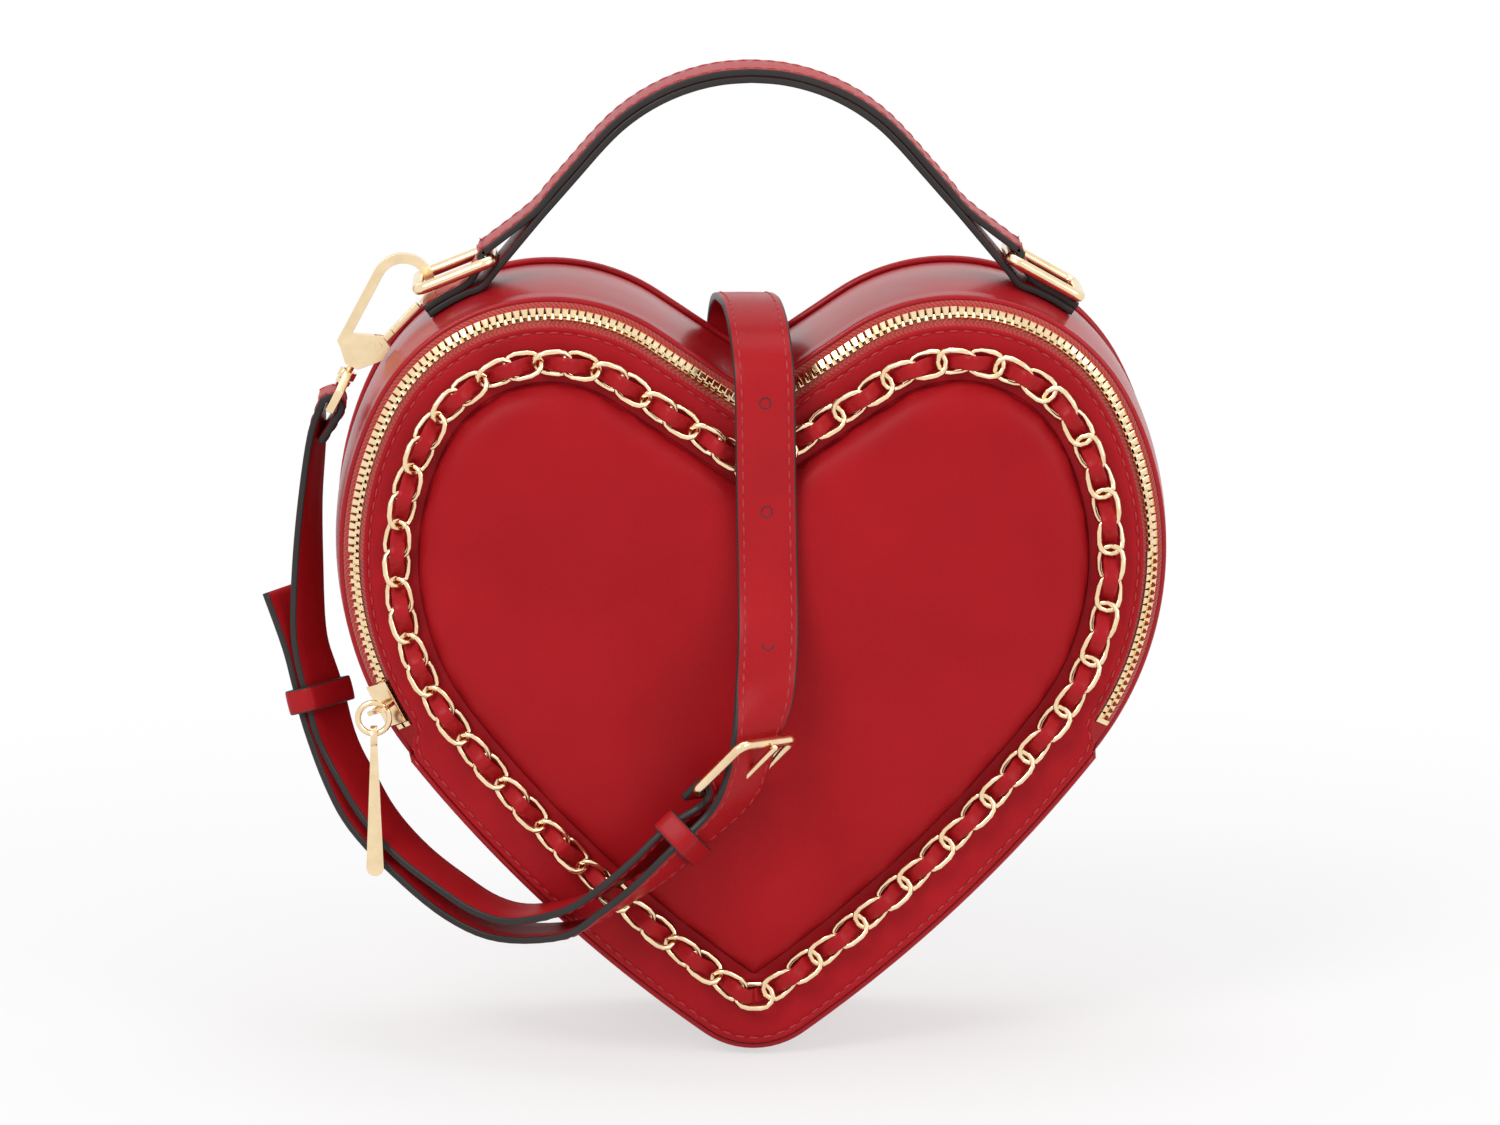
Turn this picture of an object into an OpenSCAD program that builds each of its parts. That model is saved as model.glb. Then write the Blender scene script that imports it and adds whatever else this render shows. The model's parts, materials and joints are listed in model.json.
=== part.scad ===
// Heart shaped purse with a zipped front, a top handle and a buckled shoulder strap.
// +Z is up and the front faces -Y. The origin is at the tip of the heart, at mid depth.
// Front distances are measured forwards, so a front distance f lies at y = -f.

/* [Heart outline] */
// Height of the notch between the lobes above the tip
notch_h = 159.7; // [150:0.1:170]
// Slope of the straight run beside the notch, in degrees
notch_slope = 34; // [30:0.5:38]
// Length of the straight run beside the notch
notch_run = 27.8; // [24:0.1:32]
// Radius of each lobe
lobe_r = 46.5; // [42:0.5:51]
// Angle that each lobe turns through, in degrees
lobe_turn = 96.3; // [90:0.1:102]
// Radius of the side below each lobe
side_r = 80.2; // [74:0.2:88]
// Radius of the long flank above the tip
flank_r = 342; // [300:1:400]
// Radius of the tip
tip_r = 20; // [19:0.5:24]

/* [Body] */
// Depth of the gusset from the back panel to its front edge
gusset_d = 52; // [44:0.5:60]
// Thickness of the body leather
leather_t = 1.4; // [1:0.1:1.8]
// Radius of the turned bead along the leather edges
bead_r = 0.9; // [0.7:0.05:1]
// Radius of the piping round the back panel
piping_r = 1; // [0.8:0.1:1.4]
// Thickness of the lining
lining_t = 0.6; // [0.4:0.1:0.8]
// Thickness of the stiffening boards
board_t = 1.5; // [1:0.1:1.8]
// Width of the slip pocket inside
pocket_w = 90; // [70:1:100]
// Height of the slip pocket inside
pocket_h = 55; // [40:1:65]
// Height of the fold that the front opens about
fold_z = 93; // [93:0.5:100]
// Gap left at the fold
fold_gap = 0.6; // [0.4:0.1:0.8]

/* [Zip] */
// Width of one row of teeth
row_w = 1.9; // [1.7:0.1:2]
// Thickness of the teeth
teeth_t = 2; // [1.6:0.1:2.2]
// Gap between the two rows
row_gap = 0.8; // [0.7:0.05:0.9]
// Thickness of the tape
tape_t = 0.6; // [0.4:0.05:0.7]
// Width of the tape beside the teeth
tape_w = 10; // [8:0.5:12]
// Angle of zip covered by each end tab, in degrees
end_tab_a = 5.2; // [4:0.1:5.4]
// Length of the slider
slider_l = 11; // [9:0.5:11.4]
// Width of the slider
slider_w = 7; // [6.6:0.1:7.2]
// Thickness of the slider's plates
slider_t = 1.3; // [1:0.1:1.5]
// Wire radius of the pull ring
pull_wire_r = 0.7; // [0.5:0.05:0.8]
// Centre radius of the pull ring
pull_ring_r = 3.8; // [3.4:0.1:4.2]
// Length of the pull bar
pull_l = 35; // [28:0.5:40]
// Width of the pull bar at its foot
pull_w = 4.2; // [3.6:0.1:5]
// Thickness of the pull bar
pull_t = 1.6; // [1.2:0.1:2]

/* [Front padding and chain] */
// Height of the padded heart above the front panel
puff_h = 7; // [5:0.5:8]
// Inset of the padded heart from the outline
puff_inset = 18.2; // [17.8:0.1:19]
// Inset of the chain's centre line from the outline
chain_inset = 13.6; // [13:0.1:13.8]
// Links in the chain, counted all round
link_count = 76; // [76:4:76]
// Wire diameter of a link
link_wire = 1.4; // [1.2:0.1:1.5]
// Outside width of a link
link_w = 7.4; // [7:0.1:7.6]
// Tilt of a link to either side, in degrees
link_tilt = 22; // [20:1:26]
// Width of the leather lace woven through the chain
lace_w = 3.6; // [3:0.1:4]
// Thickness of the lace
lace_t = 0.8; // [0.6:0.1:1]

/* [Handle] */
// Width of the handle and its tabs
handle_w = 18; // [15:0.5:20]
// Thickness of one of the handle's two layers
handle_t = 1.7; // [1.4:0.1:2]
// Centre radius of the handle's arch
arch_r = 49; // [45:0.5:54]
// Angle that the arch turns to each side, in degrees
arch_a = 48.8; // [46:0.1:51]
// Length of each straight leg
leg_l = 31; // [28:0.5:34]
// Height of the arch above the notch
arch_rise = 75; // [73:0.5:80]
// Wire radius of the rings
ring_wire_r = 1.4; // [1.2:0.05:1.5]
// Centre length of the rings
ring_l = 19.2; // [18.6:0.1:19.6]

/* [Shoulder strap] */
// Width of the strap
strap_w = 14.5; // [12:0.5:16]
// Thickness of the strap
strap_t = 1.8; // [1.4:0.1:2]
// Diameter of the strap's holes
hole_d = 2.4; // [2:0.1:3]
// Distance between the strap's holes
hole_pitch = 30; // [25:1:32]
// Number of folded runs behind the body
back_runs = 3; // [1:2:3]
// Width of a strap keeper
keeper_w = 6; // [5:0.5:7]
// Wall of a strap keeper
keeper_t = 1.3; // [1:0.1:1.5]
// Wire radius of the buckle frame
buckle_wire_r = 1.2; // [1:0.05:1.3]
// Thickness of the snap hooks
hook_t = 2.6; // [2.2:0.1:3]

/* [Hidden] */

eps = 0.01;
big = 400;
clear = 0.3;
round_fn = 96;
small_fn = 48;

leather_c = "#a81c22";
leather_dark_c = "#8f161c";
tape_c = "#b5261f";
lining_c = "#5c1519";
board_c = "#b9a68a";
gold_c = "#d9b676";
edge_c = "#3b3431";

// Plane geometry of the heart, for its right half
function dir(a) = [cos(a), sin(a)];
function angle_of(v) = atan2(v[1], v[0]);
lobe_start = [0, notch_h] + notch_run*dir(notch_slope);
a_start = 90 + notch_slope;
a_side = a_start - lobe_turn;
lobe_c = lobe_start - lobe_r*dir(a_start);
side_c = lobe_c - (side_r - lobe_r)*dir(a_side);
tip_c = [0, tip_r];
tip_gap = norm(tip_c - side_c);
tip_dir = (tip_c - side_c)/tip_gap;
flank_reach = flank_r - side_r;
flank_along = (pow(flank_reach, 2) - pow(flank_r - tip_r, 2) + pow(tip_gap, 2))/(2*tip_gap);
flank_across = sqrt(pow(flank_reach, 2) - pow(flank_along, 2));
flank_c = side_c + flank_along*tip_dir + flank_across*[tip_dir[1], -tip_dir[0]];
a_flank = angle_of(side_c - flank_c);
a_tip = angle_of(tip_c - flank_c);
a_down = -90;

// Layers of the body, as distances outwards from the outline and forwards from mid depth
gusset_f = gusset_d/2;
gusset_out = 0.5;
gusset_in = gusset_out - leather_t;
gusset_bulge = 1.4;
tape_out = gusset_in - 0.1;
tape_in = tape_out - tape_t;
slider_side = slider_w/2;
plate_gap = teeth_t/2 + clear + 0.05;
zip_tilt = 43;
zip_e = [cos(zip_tilt), -sin(zip_tilt)];
zip_n = [sin(zip_tilt), cos(zip_tilt)];
tape_bend = slider_side + clear + 0.1;
chain_o = tape_out - tape_bend*zip_e[0] + 0.25;
zip_f = gusset_f - tape_bend*zip_e[1] + 0.35;
row_0 = row_gap/2;
row_1 = row_gap/2 + row_w;
front_tape_f = zip_f - tape_bend*zip_e[1] + 0.6;
panel_inset = 5.5;
panel_v_inset = 1.1;
panel_f = front_tape_f + tape_t + 0.4;
panel_top_f = panel_f + leather_t;
board_inset = 10;
front_board_f = front_tape_f - board_t - 0.1;
front_lining_f = front_board_f - lining_t - 0.1;
back_inset = 3;
puff_round = 5.5;
puff_top_f = panel_top_f + puff_h;
fold_f = puff_top_f;

// A point on the side below a lobe, as a place in x and z
function on_side(a, o) = side_c + (side_r + o)*dir(a);

// Flat shapes of the heart
function arc_points(c, r, a0, a1, step) =
  let(n = ceil(abs(a1 - a0)/step)) [for (i = [0 : n]) c + r*dir(a0 + (a1 - a0)*i/n)];
function half_points(o) =
  let(sharp = tip_r + o <= 0,
    a_low = sharp ? -acos(-flank_c[0]/(flank_r + o)) : a_tip,
    tip = sharp ? [] : arc_points(tip_c, tip_r + o, a_tip, a_down, 4))
  concat([[0, notch_h + o/cos(notch_slope)]],
    arc_points(lobe_c, lobe_r + o, a_start, a_side, 3),
    arc_points(side_c, side_r + o, a_side, a_flank, 2),
    arc_points(flank_c, flank_r + o, a_flank, a_low, 1), tip);

module heart(o) {
  right = half_points(o);
  n = len(right);
  polygon(concat(right, [for (i = [n - 2 : -1 : 1]) [-right[i][0], right[i][1]]]));
}

// A flat heart between two front distances
module plate(o, f0, f1) {
  translate([0, -f0, 0]) rotate([90, 0, 0]) linear_extrude(f1 - f0) heart(o);
}

// Sweeps a section along the right half of the outline: x is outwards, y is forwards
module arc_run(c, r, a0, a1) {
  translate([c[0], 0, c[1]]) rotate([90, 0, 0]) rotate([0, 0, a0])
    rotate_extrude(angle = a1 - a0, $fn = r > 2*side_r ? 4*round_fn : round_fn)
      translate([r, 0]) children();
}

module right_only() {
  intersection() {
    children();
    translate([0, -big/2, -big/2]) cube([big, big, 2*big]);
  }
}

module notch_line() {
  over = tip_r;
  right_only() translate([0, 0, notch_h]) rotate([180, -90 - notch_slope, 0])
    translate([0, 0, -over]) linear_extrude(notch_run + over) children();
}

module zip_half(a_end) {
  notch_line() children();
  arc_run(lobe_c, lobe_r, a_side, a_start) children();
  arc_run(side_c, side_r, a_end, a_side) children();
}

module both() {
  children();
  mirror([1, 0, 0]) children();
}

module section(o0, o1, f0, f1) {
  translate([o0, f0]) square([o1 - o0, f1 - f0]);
}

module above_fold() {
  intersection() {
    children();
    translate([-big/2, -big/2, fold_z + fold_gap/2]) cube(big);
  }
}

module below_fold() {
  intersection() {
    children();
    translate([-big/2, -big/2, fold_z - fold_gap/2 - big]) cube(big);
  }
}

// Stations along the outline: a point on it and the way out of it
function arc_stations(c, r, a0, a1, step, first) =
  let(n = ceil(abs(a1 - a0)/step))
  [for (i = [first : n]) let(a = a0 + (a1 - a0)*i/n) [c + r*dir(a), dir(a)]];
function high_half(a_end) = concat([[[0, notch_h], [0, 1/cos(notch_slope)]]],
  arc_stations(lobe_c, lobe_r, a_start, a_side, 4, 0), arc_stations(side_c, side_r, a_side, a_end, 3, 1));
function low_half(first) = concat(arc_stations(flank_c, flank_r, a_flank, a_tip, 1, first),
  arc_stations(tip_c, tip_r, a_tip, a_down, 9, 1));
function flipped(list, first, last) =
  [for (i = [last : -1 : first]) [[-list[i][0][0], list[i][0][1]], [-list[i][1][0], list[i][1][1]]]];
function over_top(a_end) = let(h = high_half(a_end)) concat(flipped(h, 1, len(h) - 1), h);
function under_tip() = let(h = low_half(0)) concat(h, flipped(h, 0, len(h) - 2));
function all_round() = let(h = concat(high_half(a_flank), low_half(1)))
  concat(h, flipped(h, 1, len(h) - 2));
function quad(a, b, c, d) = [[a, b, c], [a, c, d]];

// Sweeps a wall along stations. Its two faces are listed as distances out and forwards.
module wall(stations, outer, inner, closed) {
  k = len(outer);
  m = 2*k;
  n = len(stations);
  ring = concat(outer, [for (i = [k - 1 : -1 : 0]) inner[i]]);
  function at(i, j) = m*(i % n) + j % m;
  points = [for (s = stations) for (p = ring)
    [s[0][0] + p[0]*s[1][0], -p[1], s[0][1] + p[0]*s[1][1]]];
  sides = [for (i = [0 : closed ? n - 1 : n - 2]) for (j = [0 : m - 1])
    for (f = quad(at(i, j), at(i, j + 1), at(i + 1, j + 1), at(i + 1, j))) f];
  caps = closed ? [] : [for (j = [0 : k - 2])
    for (f = concat(quad(m - 1 - j, m - 2 - j, j + 1, j),
      quad(at(n - 1, j), at(n - 1, j + 1), at(n - 1, m - 2 - j), at(n - 1, m - 1 - j)))) f];
  polyhedron(points = points, faces = concat(sides, caps), convexity = 10);
}

// Back of the body
module back_panel() {
  color(leather_c) plate(0, -gusset_f - leather_t, -gusset_f);
}

module back_board() {
  color(board_c) plate(-back_inset, -gusset_f + 0.1, -gusset_f + 0.1 + board_t);
}

back_lining_f = -gusset_f + 0.2 + board_t;
module back_lining() {
  color(lining_c) plate(-back_inset, back_lining_f, back_lining_f + lining_t);
}

piping_a = [-67.5 : 45 : 67.5];
piping_o = piping_r;
piping_f = -gusset_f - piping_r;

module back_piping() {
  color(leather_dark_c) wall(all_round(),
    [for (a = piping_a) [piping_o + piping_r*cos(a), piping_f + piping_r*sin(a)]],
    [for (a = piping_a) [piping_o - piping_r*cos(a), piping_f + piping_r*sin(a)]], true);
}

// Gusset, which bulges a little between its edges
bulge_shares = [-1, -2/3, -1/3, 0, 1/3, 2/3, 1];
bead_mid = gusset_in + leather_t/2;
function gusset_face(side, front) =
  let(end = front - leather_t/2, mid = (end - gusset_f)/2, half = (end + gusset_f)/2)
  concat([for (u = bulge_shares) [side + gusset_bulge*(1 - u*u), mid + u*half]],
    [for (a = [40, 75]) [bead_mid + sign(side - bead_mid)*leather_t/2*cos(a), end + leather_t/2*sin(a)]]);

module gusset_upper() {
  color(leather_c) wall(over_top(a_flank), gusset_face(gusset_out, gusset_f),
    gusset_face(gusset_in, gusset_f), false);
}

module gusset_lower() {
  color(leather_c) wall(under_tip(), gusset_face(gusset_out, panel_f - 0.1),
    gusset_face(gusset_in, panel_f - 0.1), false);
}

gusset_lining_f = gusset_f - tape_w;
module gusset_lining() {
  back_f = -gusset_f + 0.1;
  low = low_half(1);
  color(lining_c) {
    wall(over_top(a_flank), [[tape_out, back_f], [tape_out, gusset_lining_f]],
      [[tape_in, back_f], [tape_in, gusset_lining_f]], false);
    wall(concat(low, flipped(low, 0, len(low) - 2)), [[tape_out, back_f], [tape_out, front_lining_f]],
      [[tape_in, back_f], [tape_in, front_lining_f]], false);
  }
}

module slip_pocket() {
  pocket_z = 60;
  pocket_f = back_lining_f + lining_t;
  color(lining_c) translate([-pocket_w/2, -pocket_f - 2*lining_t, pocket_z])
    cube([pocket_w, 2*lining_t, pocket_h]);
}

// Zip, whose teeth are turned half way between the gusset and the front
a_zip_end = a_flank + end_tab_a;
stop_a = 0.9;
a_teeth_end = a_zip_end + stop_a;

module on_zip() {
  translate([chain_o, zip_f]) rotate(-zip_tilt) children();
}

module zip_bar(w0, w1, t) {
  on_zip() translate([w0, -t/2]) square([w1 - w0, t]);
}

function zip_at(w, n) = [chain_o, zip_f] + w*zip_e + n*zip_n;

tape_h = tape_t/2;
rear_knee_f = zip_at(tape_bend, 0)[1] - 1;
front_knee_o = zip_at(-tape_bend, 0)[0] - 1;
front_end_o = -tape_w - row_1;
rear_end_f = gusset_lining_f + 0.1;
rear_turn = [zip_at(tape_bend, tape_h), [tape_out, rear_knee_f], [tape_out, rear_end_f],
  [tape_in, rear_end_f], [tape_in, rear_knee_f], zip_at(tape_bend, -tape_h)];
front_turn = [zip_at(-tape_bend, -tape_h), [front_knee_o, front_tape_f], [front_end_o, front_tape_f],
  [front_end_o, front_tape_f + tape_t], [front_knee_o, front_tape_f + tape_t],
  zip_at(-tape_bend, tape_h)];

module zip_tape_rear() {
  color(tape_c) wall(over_top(a_zip_end),
    [[tape_out, rear_end_f], [tape_out, rear_knee_f], zip_at(tape_bend, tape_h), zip_at(row_1, tape_h)],
    [[tape_in, rear_end_f], [tape_in, rear_knee_f], zip_at(tape_bend, -tape_h), zip_at(row_1, -tape_h)],
    false);
}

module zip_teeth_rear() {
  color(gold_c) both() zip_half(a_teeth_end) zip_bar(row_0, row_1, teeth_t);
}

module front_tape() {
  wall(over_top(a_zip_end),
    [[front_end_o, front_tape_f], [front_knee_o, front_tape_f], zip_at(-tape_bend, -tape_h),
      zip_at(-row_1, -tape_h)],
    [[front_end_o, front_tape_f + tape_t], [front_knee_o, front_tape_f + tape_t],
      zip_at(-tape_bend, tape_h), zip_at(-row_1, tape_h)], false);
}

module zip_tape_front() {
  color(tape_c) above_fold() front_tape();
}

module zip_teeth_front() {
  color(gold_c) above_fold() both() zip_half(a_teeth_end) zip_bar(-row_1, -row_0, teeth_t);
}

module zip_tape_front_ends() {
  color(tape_c) below_fold() front_tape();
}

module zip_teeth_front_ends() {
  color(gold_c) below_fold() both() arc_run(side_c, side_r, a_teeth_end, 0)
    zip_bar(-row_1, -row_0, teeth_t);
}

module zip_stops() {
  stop_t = teeth_t + 0.6;
  color(gold_c) {
    mirror([1, 0, 0]) arc_run(side_c, side_r, a_zip_end, a_teeth_end - 0.05) {
      zip_bar(row_0, row_1, stop_t);
      zip_bar(-row_1, -row_0, stop_t);
    }
    arc_run(side_c, side_r, a_zip_end, a_teeth_end - 0.05) zip_bar(-row_1, row_1, stop_t);
  }
}

module end_tab_half() {
  edge = row_1 + 0.5;
  arc_run(side_c, side_r, a_flank, a_zip_end - 0.1)
    polygon(concat([zip_at(-edge, tape_t), zip_at(edge, tape_t), zip_at(edge, tape_h)], rear_turn,
      [zip_at(edge, -tape_h), zip_at(edge, -tape_t), zip_at(-edge, -tape_t), zip_at(-edge, -tape_h)],
      front_turn, [zip_at(-edge, tape_h)]));
}

module zip_end_tab_left() {
  color(leather_dark_c) mirror([1, 0, 0]) end_tab_half();
}

module zip_end_tab_right() {
  color(leather_dark_c) end_tab_half();
}

// A place on the zip: x out of the slider's face, y along the zip, z across it
module on_track(a) {
  translate([side_c[0], 0, side_c[1]]) rotate([90, 0, 0]) rotate([0, 0, a])
    translate([side_r + chain_o, 0, zip_f]) rotate([0, -90 + zip_tilt, 0]) children();
}

slider_a = asin(slider_l/(2*side_r));
slider_rest_a = a_teeth_end + slider_a + 0.5;
flange_t = slider_side - row_1 - clear;
slot_gap = tape_t/2 + clear;
bail_room = 3;
bail_t = 0.8;
bail_w = slider_w - 0.4;
bail_l = 1;

module slider_shape() {
  for (side = [0, 1]) mirror([side, 0, 0]) {
    translate([plate_gap, -slider_l/2, -slider_side]) cube([slider_t, slider_l, slider_w]);
    for (edge = [0, 1]) mirror([0, 0, edge])
      translate([slot_gap, -slider_l/2, slider_side - flange_t])
        cube([plate_gap - slot_gap + eps, slider_l, flange_t]);
  }
  // Post at the mouth, in the gap between the rows
  post_t = row_gap - 0.5;
  translate([-plate_gap - eps, slider_l/2 - 1.5, -post_t/2]) cube([2*plate_gap + 2*eps, 1.5, post_t]);
  // Bail that carries the pull ring
  translate([plate_gap + slider_t - eps, -bail_l/2, -bail_w/2]) difference() {
    cube([bail_room + bail_t, bail_l, bail_w]);
    translate([-eps, -eps, bail_t]) cube([bail_room + eps, bail_l + 2*eps, bail_w - 2*bail_t]);
  }
}

module slider_body() {
  color(gold_c) mirror([1, 0, 0]) on_track(slider_rest_a) slider_shape();
}

// Pull: the ring hangs from the bail and the bar hangs from the ring
bail_n = plate_gap + slider_t + bail_room + bail_t/2;
bail_at = on_side(slider_rest_a, chain_o + bail_n*zip_n[0]);
bail_f = zip_f + bail_n*zip_n[1];
pull_lean = 62;
pull_reach = pull_ring_r - pull_wire_r - 1.2;
pull_ring_at = [-bail_at[0] - pull_reach*cos(pull_lean), -bail_f, bail_at[1] - pull_reach*sin(pull_lean)];
pull_eye_r = 1.5;
pull_eye_wall = 1;
pull_bar_at = pull_ring_at + [0, 0, -pull_ring_r - (pull_eye_r - pull_wire_r - 0.2)];

module torus(r, wire_r) {
  rotate_extrude($fn = round_fn) translate([r, 0]) circle(wire_r, $fn = small_fn);
}

module pull_ring() {
  color(gold_c) translate(pull_ring_at) rotate([90, 0, 0]) torus(pull_ring_r, pull_wire_r);
}

module pull_bar() {
  foot = pull_l - pull_eye_r - pull_eye_wall;
  color(gold_c) translate(pull_bar_at) {
    difference() {
      rotate([0, 90, 0]) cylinder(r = pull_eye_r + pull_eye_wall, h = pull_t, center = true, $fn = small_fn);
      rotate([0, 90, 0]) cylinder(r = pull_eye_r, h = 2*pull_t, center = true, $fn = small_fn);
    }
    translate([0, pull_t/2, 0]) rotate([90, 0, 0]) linear_extrude(pull_t)
      polygon([[-0.8, -pull_eye_r - 0.4], [0.8, -pull_eye_r - 0.4], [pull_w/2, -foot],
        [-pull_w/2, -foot]]);
    translate([0, pull_t/2, -foot]) rotate([90, 0, 0]) cylinder(r = pull_w/2, h = pull_t, $fn = small_fn);
  }
}

// Front of the body
panel_bevel = 0.35;
// Halves of a ring round the front, above and below the fold, at a distance o out
function fold_a(o, side) = -asin((side_c[1] - fold_z - side*fold_gap/2)/(side_r + o));
function side_part(o, a0, a1, n) = [for (i = [0 : n]) on_side(a0 + (a1 - a0)*i/n, o)];
function high_part(o) = concat([[0, notch_h + o/cos(notch_slope)]],
  arc_points(lobe_c, lobe_r + o, a_start, a_side, 4), side_part(o, a_side - 2, fold_a(o, 1), 16));
function low_side(o) = side_part(o, fold_a(o, -1), a_flank + 0.5, 5);
function high_ring(o, f) = let(r = high_part(o), n = len(r))
  concat([for (i = [n - 1 : -1 : 1]) [-r[i][0], -f, r[i][1]]], [for (p = r) [p[0], -f, p[1]]]);
function low_ring(r, f) = let(n = len(r))
  concat([for (p = r) [p[0], -f, p[1]]], [for (i = [n - 2 : -1 : 0]) [-r[i][0], -f, r[i][1]]]);

// A solid with a flat foot and top and rings between them
module ring_stack(rings) {
  n = len(rings[0]);
  m = len(rings);
  sides = [for (i = [0 : m - 2]) for (j = [0 : n - 1])
    for (f = quad((i + 1)*n + (j + 1) % n, i*n + (j + 1) % n, i*n + j, (i + 1)*n + j)) f];
  polyhedron(points = [for (r = rings) for (p = r) p],
    faces = concat(sides, [[for (j = [0 : n - 1]) j], [for (j = [n - 1 : -1 : 0]) (m - 1)*n + j]]),
    convexity = 10);
}

panel_edge = [[-panel_bevel, panel_f], [0, panel_f + panel_bevel], [0, panel_top_f - panel_bevel],
  [-panel_bevel, panel_top_f]];

module front_panel_lower() {
  color(leather_c) ring_stack([for (e = panel_edge)
    low_ring(concat(low_side(e[0] - panel_inset),
      [for (s = low_half(0)) s[0] + (e[0] - panel_v_inset)*s[1]]), e[1])]);
}

module front_panel_upper() {
  color(leather_c) ring_stack([for (e = panel_edge) high_ring(e[0] - panel_inset, e[1])]);
}

module front_board_lower() {
  color(board_c) below_fold() plate(-board_inset, front_board_f, front_board_f + board_t);
}

module front_board_upper() {
  color(board_c) above_fold() plate(-board_inset, front_board_f, front_board_f + board_t);
}

module front_lining_lower() {
  color(lining_c) below_fold() plate(-board_inset, front_lining_f, front_lining_f + lining_t);
}

module front_lining_upper() {
  color(lining_c) above_fold() plate(-board_inset, front_lining_f, front_lining_f + lining_t);
}

// Padding, whose edge goes from its foot up and over a rounded shoulder
puff_knee = puff_top_f - puff_round;
puff_turns = [0, 18, 36, 54, 72, 90];
puff_edge = concat([[-puff_inset, panel_top_f]],
  [for (a = puff_turns) [-puff_inset - puff_round*(1 - cos(a)), puff_knee + puff_round*sin(a)]]);
function puff_flank(o) = let(a_low = -acos(-flank_c[0]/(flank_r + o)))
  [for (i = [0 : 16]) flank_c + (flank_r + o)*dir(a_flank + (a_low - a_flank)*i/16)];

module front_padding_lower() {
  color(leather_c) ring_stack([for (e = puff_edge)
    low_ring(concat(low_side(e[0]), puff_flank(e[0])), e[1])]);
}

module front_padding_upper() {
  color(leather_c) ring_stack([for (e = puff_edge) high_ring(e[0], e[1])]);
}

// Chain round the padding. Its path is measured from the notch, right side positive
lace_swing = 2.3;
link_chain_f = panel_top_f + lace_swing + lace_t/2 + 0.1;
co = -chain_inset;
line_len = notch_run + chain_inset*tan(notch_slope);
lobe_len = (lobe_r + co)*lobe_turn*PI/180;
side_len = (side_r + co)*(a_side - a_flank)*PI/180;
flank_len = (flank_r + co)*(a_flank - a_tip)*PI/180;
tip_len = (tip_r + co)*(a_tip - a_down)*PI/180;
half_len = line_len + lobe_len + side_len + flank_len + tip_len;
a_fold = -asin((side_c[1] - fold_z)/(side_r + co));
fold_len = line_len + lobe_len + (side_r + co)*(a_side - a_fold)*PI/180;
links_down = round(link_count/2*fold_len/half_len);
links_rest = link_count/2 - links_down;
pitch_up = fold_len/links_down;
pitch_low = (half_len - fold_len)/links_rest;
link_l = max(pitch_up, pitch_low) + 2*link_wire + 0.5;

function degrees_of(s, r) = s*180/PI/r;
// Place and outward angle on the chain's path at length s
function path_at(s) =
  s < line_len ? [[0, notch_h + co/cos(notch_slope)] + s*dir(notch_slope), a_start] :
  s < line_len + lobe_len ?
    let(a = a_start - degrees_of(s - line_len, lobe_r + co)) [lobe_c + (lobe_r + co)*dir(a), a] :
  s < line_len + lobe_len + side_len ?
    let(a = a_side - degrees_of(s - line_len - lobe_len, side_r + co))
      [side_c + (side_r + co)*dir(a), a] :
  s < half_len - tip_len ?
    let(a = a_flank - degrees_of(s - line_len - lobe_len - side_len, flank_r + co))
      [flank_c + (flank_r + co)*dir(a), a] :
    let(a = a_tip - degrees_of(s - half_len + tip_len, tip_r + co))
      [tip_c + (tip_r + co)*dir(a), a];

function link_s(k) = k <= links_down ? k*pitch_up : fold_len + (k - links_down)*pitch_low;

module link_shape(turn) {
  wire_r = link_wire/2;
  r = link_w/2 - wire_r;
  run = link_l/2 - wire_r - r;
  rotate([turn, 0, 0]) {
    for (side = [-1, 1]) {
      translate([-run, side*r, 0]) rotate([0, 90, 0]) cylinder(r = wire_r, h = 2*run, $fn = small_fn/2);
      translate([side*run, 0, 0]) rotate([0, 0, side > 0 ? -90 : 90])
        rotate_extrude(angle = 180, $fn = small_fn) translate([r, 0]) circle(wire_r, $fn = small_fn/2);
    }
  }
}

module link_on(k) {
  at = path_at(link_s(k));
  turn = (k % 2 == 0 ? 1 : -1)*link_tilt;
  a = k == 0 || k == link_count/2 ? (k == 0 ? 90 : -90) : at[1];
  translate([at[0][0], -link_chain_f, at[0][1]]) rotate([90, 0, 0]) rotate([0, 0, a - 90])
    link_shape(turn);
}

module chain_upper() {
  color(gold_c) {
    link_on(0);
    for (k = [1 : links_down - 1]) {
      link_on(k);
      mirror([1, 0, 0]) link_on(k);
    }
  }
}

module chain_lower() {
  color(gold_c) {
    for (k = [links_down + 1 : link_count/2 - 1]) {
      link_on(k);
      mirror([1, 0, 0]) link_on(k);
    }
    link_on(link_count/2);
  }
}

// Lace woven over one joint of the chain and under the next
function lace_phase(s) = s < fold_len ? s/pitch_up : links_down + (s - fold_len)/pitch_low;
function lace_corner(s, side, up) =
  let(at = path_at(abs(s)), sign = s < 0 ? -1 : 1,
    stretch = abs(s) < eps ? 1/cos(notch_slope) : 1,
    a = abs(s) < eps ? 90 : half_len - abs(s) < eps ? -90 : at[1],
    p = at[0] + side*stretch*lace_w/2*dir(a),
    f = link_chain_f + sign*lace_swing*sin(180*lace_phase(abs(s))) + up*lace_t/2)
  [sign*p[0], -f, p[1]];

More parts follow.
